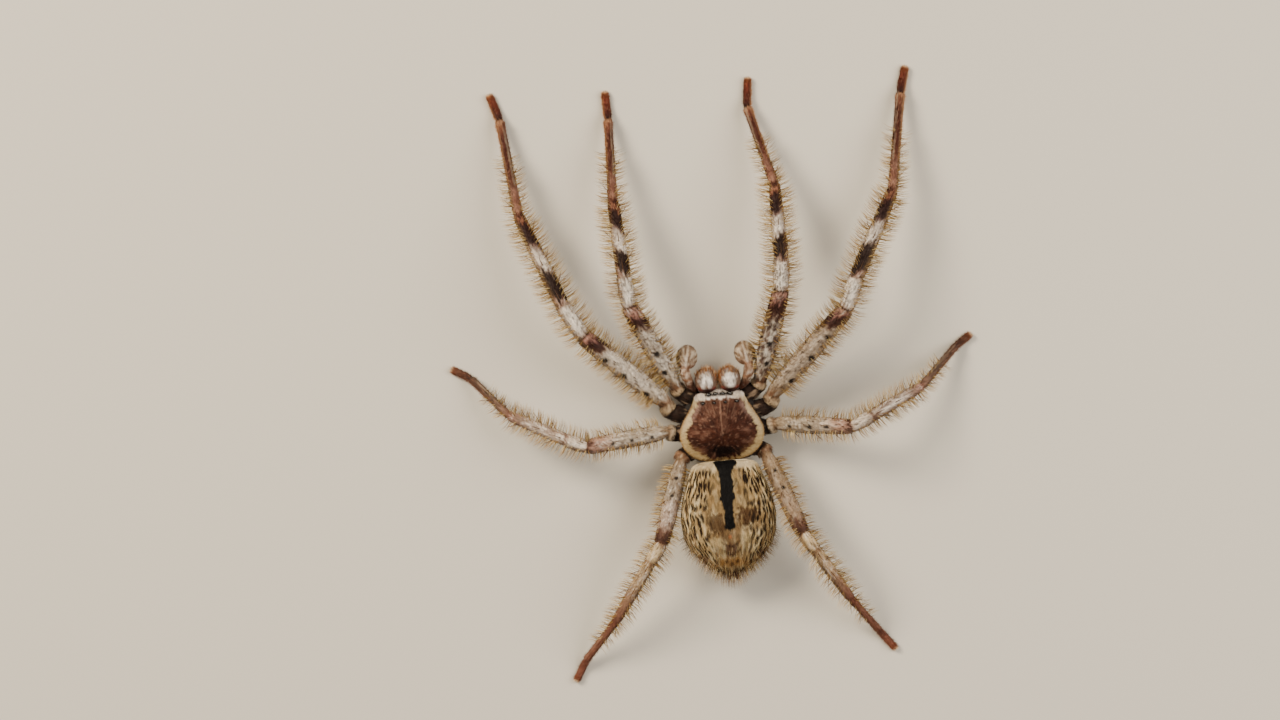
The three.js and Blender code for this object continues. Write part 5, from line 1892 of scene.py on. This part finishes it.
# %% Coat of the jaws
JAW_MAP = (5.0, 5.0, 8.5)
JAW_NAP, JAW_FRINGE = 3000, 300
JAW_NAP_RADIUS, JAW_FRINGE_RADIUS = 0.032, 0.024  # mm
RUSTY_HAIR = ((0.4, "#b07844"), (0.35, "#7c5638"), (0.25, "#e6cba4"))


def jaw_front(places, outward):
    """How likely a rusty hair is: on the upper front of the jaws, and between them."""
    return (places[:, 1] > 9.0) * (places[:, 2] > 4.0) + (np.abs(places[:, 0]) < 0.7) * 0.8


def coat_jaw(side_name, jaw):
    """Short hair over a jaw, and longer rusty hair on its front."""
    place, outward = scatter(jaw, JAW_NAP, lambda p, n: (n[:, 2] > -0.5) * (p[:, 1] > 7.3))
    way = flat_way(outward, unit_ways(JAW_NAP, 0.0, 1.0, -0.5), 0.25, 0.14)
    size = 0.32 + 0.22 * rng.random(JAW_NAP)
    colour = varied(jaw_marking(place), 0.2)
    spread = around(place, *JAW_MAP)
    name = f"chelicera_{side_name}_nap"
    coat(name, place, way, way, size, JAW_NAP_RADIUS, colour, spread, coat_hair, long=False)
    place, outward = scatter(jaw, JAW_FRINGE, jaw_front)
    way = flat_way(outward, unit_ways(JAW_FRINGE, 0.0, 1.0, -0.2), 0.8, 0.28)
    size = 0.5 + 0.75 * rng.random(JAW_FRINGE)
    colour = varied(picked(JAW_FRINGE, *RUSTY_HAIR), 0.1)
    spread = around(place, *JAW_MAP)
    name = f"chelicera_{side_name}_fringe"
    coat(name, place, way, way, size, JAW_FRINGE_RADIUS, colour, spread, coat_hair)


print("hairs on each jaw:", JAW_NAP + JAW_FRINGE)

# %% Coat of the palps
PALP_MAP = (5.0, 5.0, 11.5)
PALP_NAP = 3200
PALP_NAP_RADIUS = 0.033  # mm


def coat_palp(side_name, palp):
    """Short hair over a palp. On its club the hair fans out."""
    place, outward = scatter(palp, PALP_NAP)
    club = place[:, 1] > 11.4
    zeros = np.zeros(PALP_NAP)
    fan = np.stack([place[:, 0] - SIDES[side_name] * 5.5, place[:, 1] - 11.0, zeros], axis=1)
    ahead = np.stack([zeros, zeros + 1.0, zeros + 0.3], axis=1)
    towards = unit(np.where(club[:, None], fan, ahead))
    way = flat_way(outward, towards, 0.2 + 0.25 * rng.random(PALP_NAP), 0.14)
    size = 0.32 + 0.3 * rng.random(PALP_NAP) ** 2
    colour = varied(palp_marking(place), 0.2)
    spread = around(place, *PALP_MAP)
    name = f"palp_{side_name}_nap"
    coat(name, place, way, way, size, PALP_NAP_RADIUS, colour, spread, coat_hair, long=False)


for side_name, (jaw, palp, _) in round_parts.items():
    coat_jaw(side_name, jaw)
    coat_palp(side_name, palp)
print("hairs on each palp:", PALP_NAP)

# %% [markdown]
# ## Floor and light
# The model stands on a plain pale floor under soft studio light: a large lamp up to the left of the picture,
# a weaker one opposite, and an even grey sky, which keeps the shadows soft as on an overcast day.

# %% Floor
floor_shape = bmesh.new()
bmesh.ops.create_grid(floor_shape, x_segments=1, y_segments=1, size=1.5)
floor_mesh = bpy.data.meshes.new("floor")
floor_shape.to_mesh(floor_mesh)
floor_shape.free()
floor = bpy.data.objects.new("floor", floor_mesh)
bpy.context.scene.collection.objects.link(floor)
floor_paint = bpy.data.materials.new("matt pale paper")
floor_paint.use_nodes = True
paper = floor_paint.node_tree.nodes["Principled BSDF"]
paper.inputs["Base Color"].default_value = (*linear("#d8d4cb"), 1.0)
paper.inputs["Roughness"].default_value = 0.9
floor_mesh.materials.append(floor_paint)
floor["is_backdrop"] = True


# %% Light
def lamp(name, place, size, power, colour="#ffffff"):
    """A square soft lamp over a place in millimetres, turned to the spider."""
    light = bpy.data.lights.new(name, "AREA")
    light.size = size * MM
    light.energy = power
    light.color = linear(colour)
    made = bpy.data.objects.new(name, light)
    bpy.context.scene.collection.objects.link(made)
    made.location = Vector(place) * MM
    made.rotation_euler = (-Vector(place)).to_track_quat("-Z", "Y").to_euler()
    return made


lamp("main_lamp", (-460, 380, 480), 300, 8.5, "#ffedd2")
lamp("side_lamp", (460, 60, 420), 480, 4.0, "#fff4e4")
sky = bpy.data.worlds.new("sky")
sky.use_nodes = True
sky.node_tree.nodes["Background"].inputs["Color"].default_value = (*linear("#f2e9dc"), 1.0)
sky.node_tree.nodes["Background"].inputs["Strength"].default_value = 0.36
bpy.context.scene.world = sky

# %% Sizes
low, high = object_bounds()
triangles = 0
for made in bpy.data.objects:
    if made.type == "MESH":
        made.data.calc_loop_triangles()
        triangles += len(made.data.loop_triangles)
print("triangles in all, with the packed solids:", triangles)
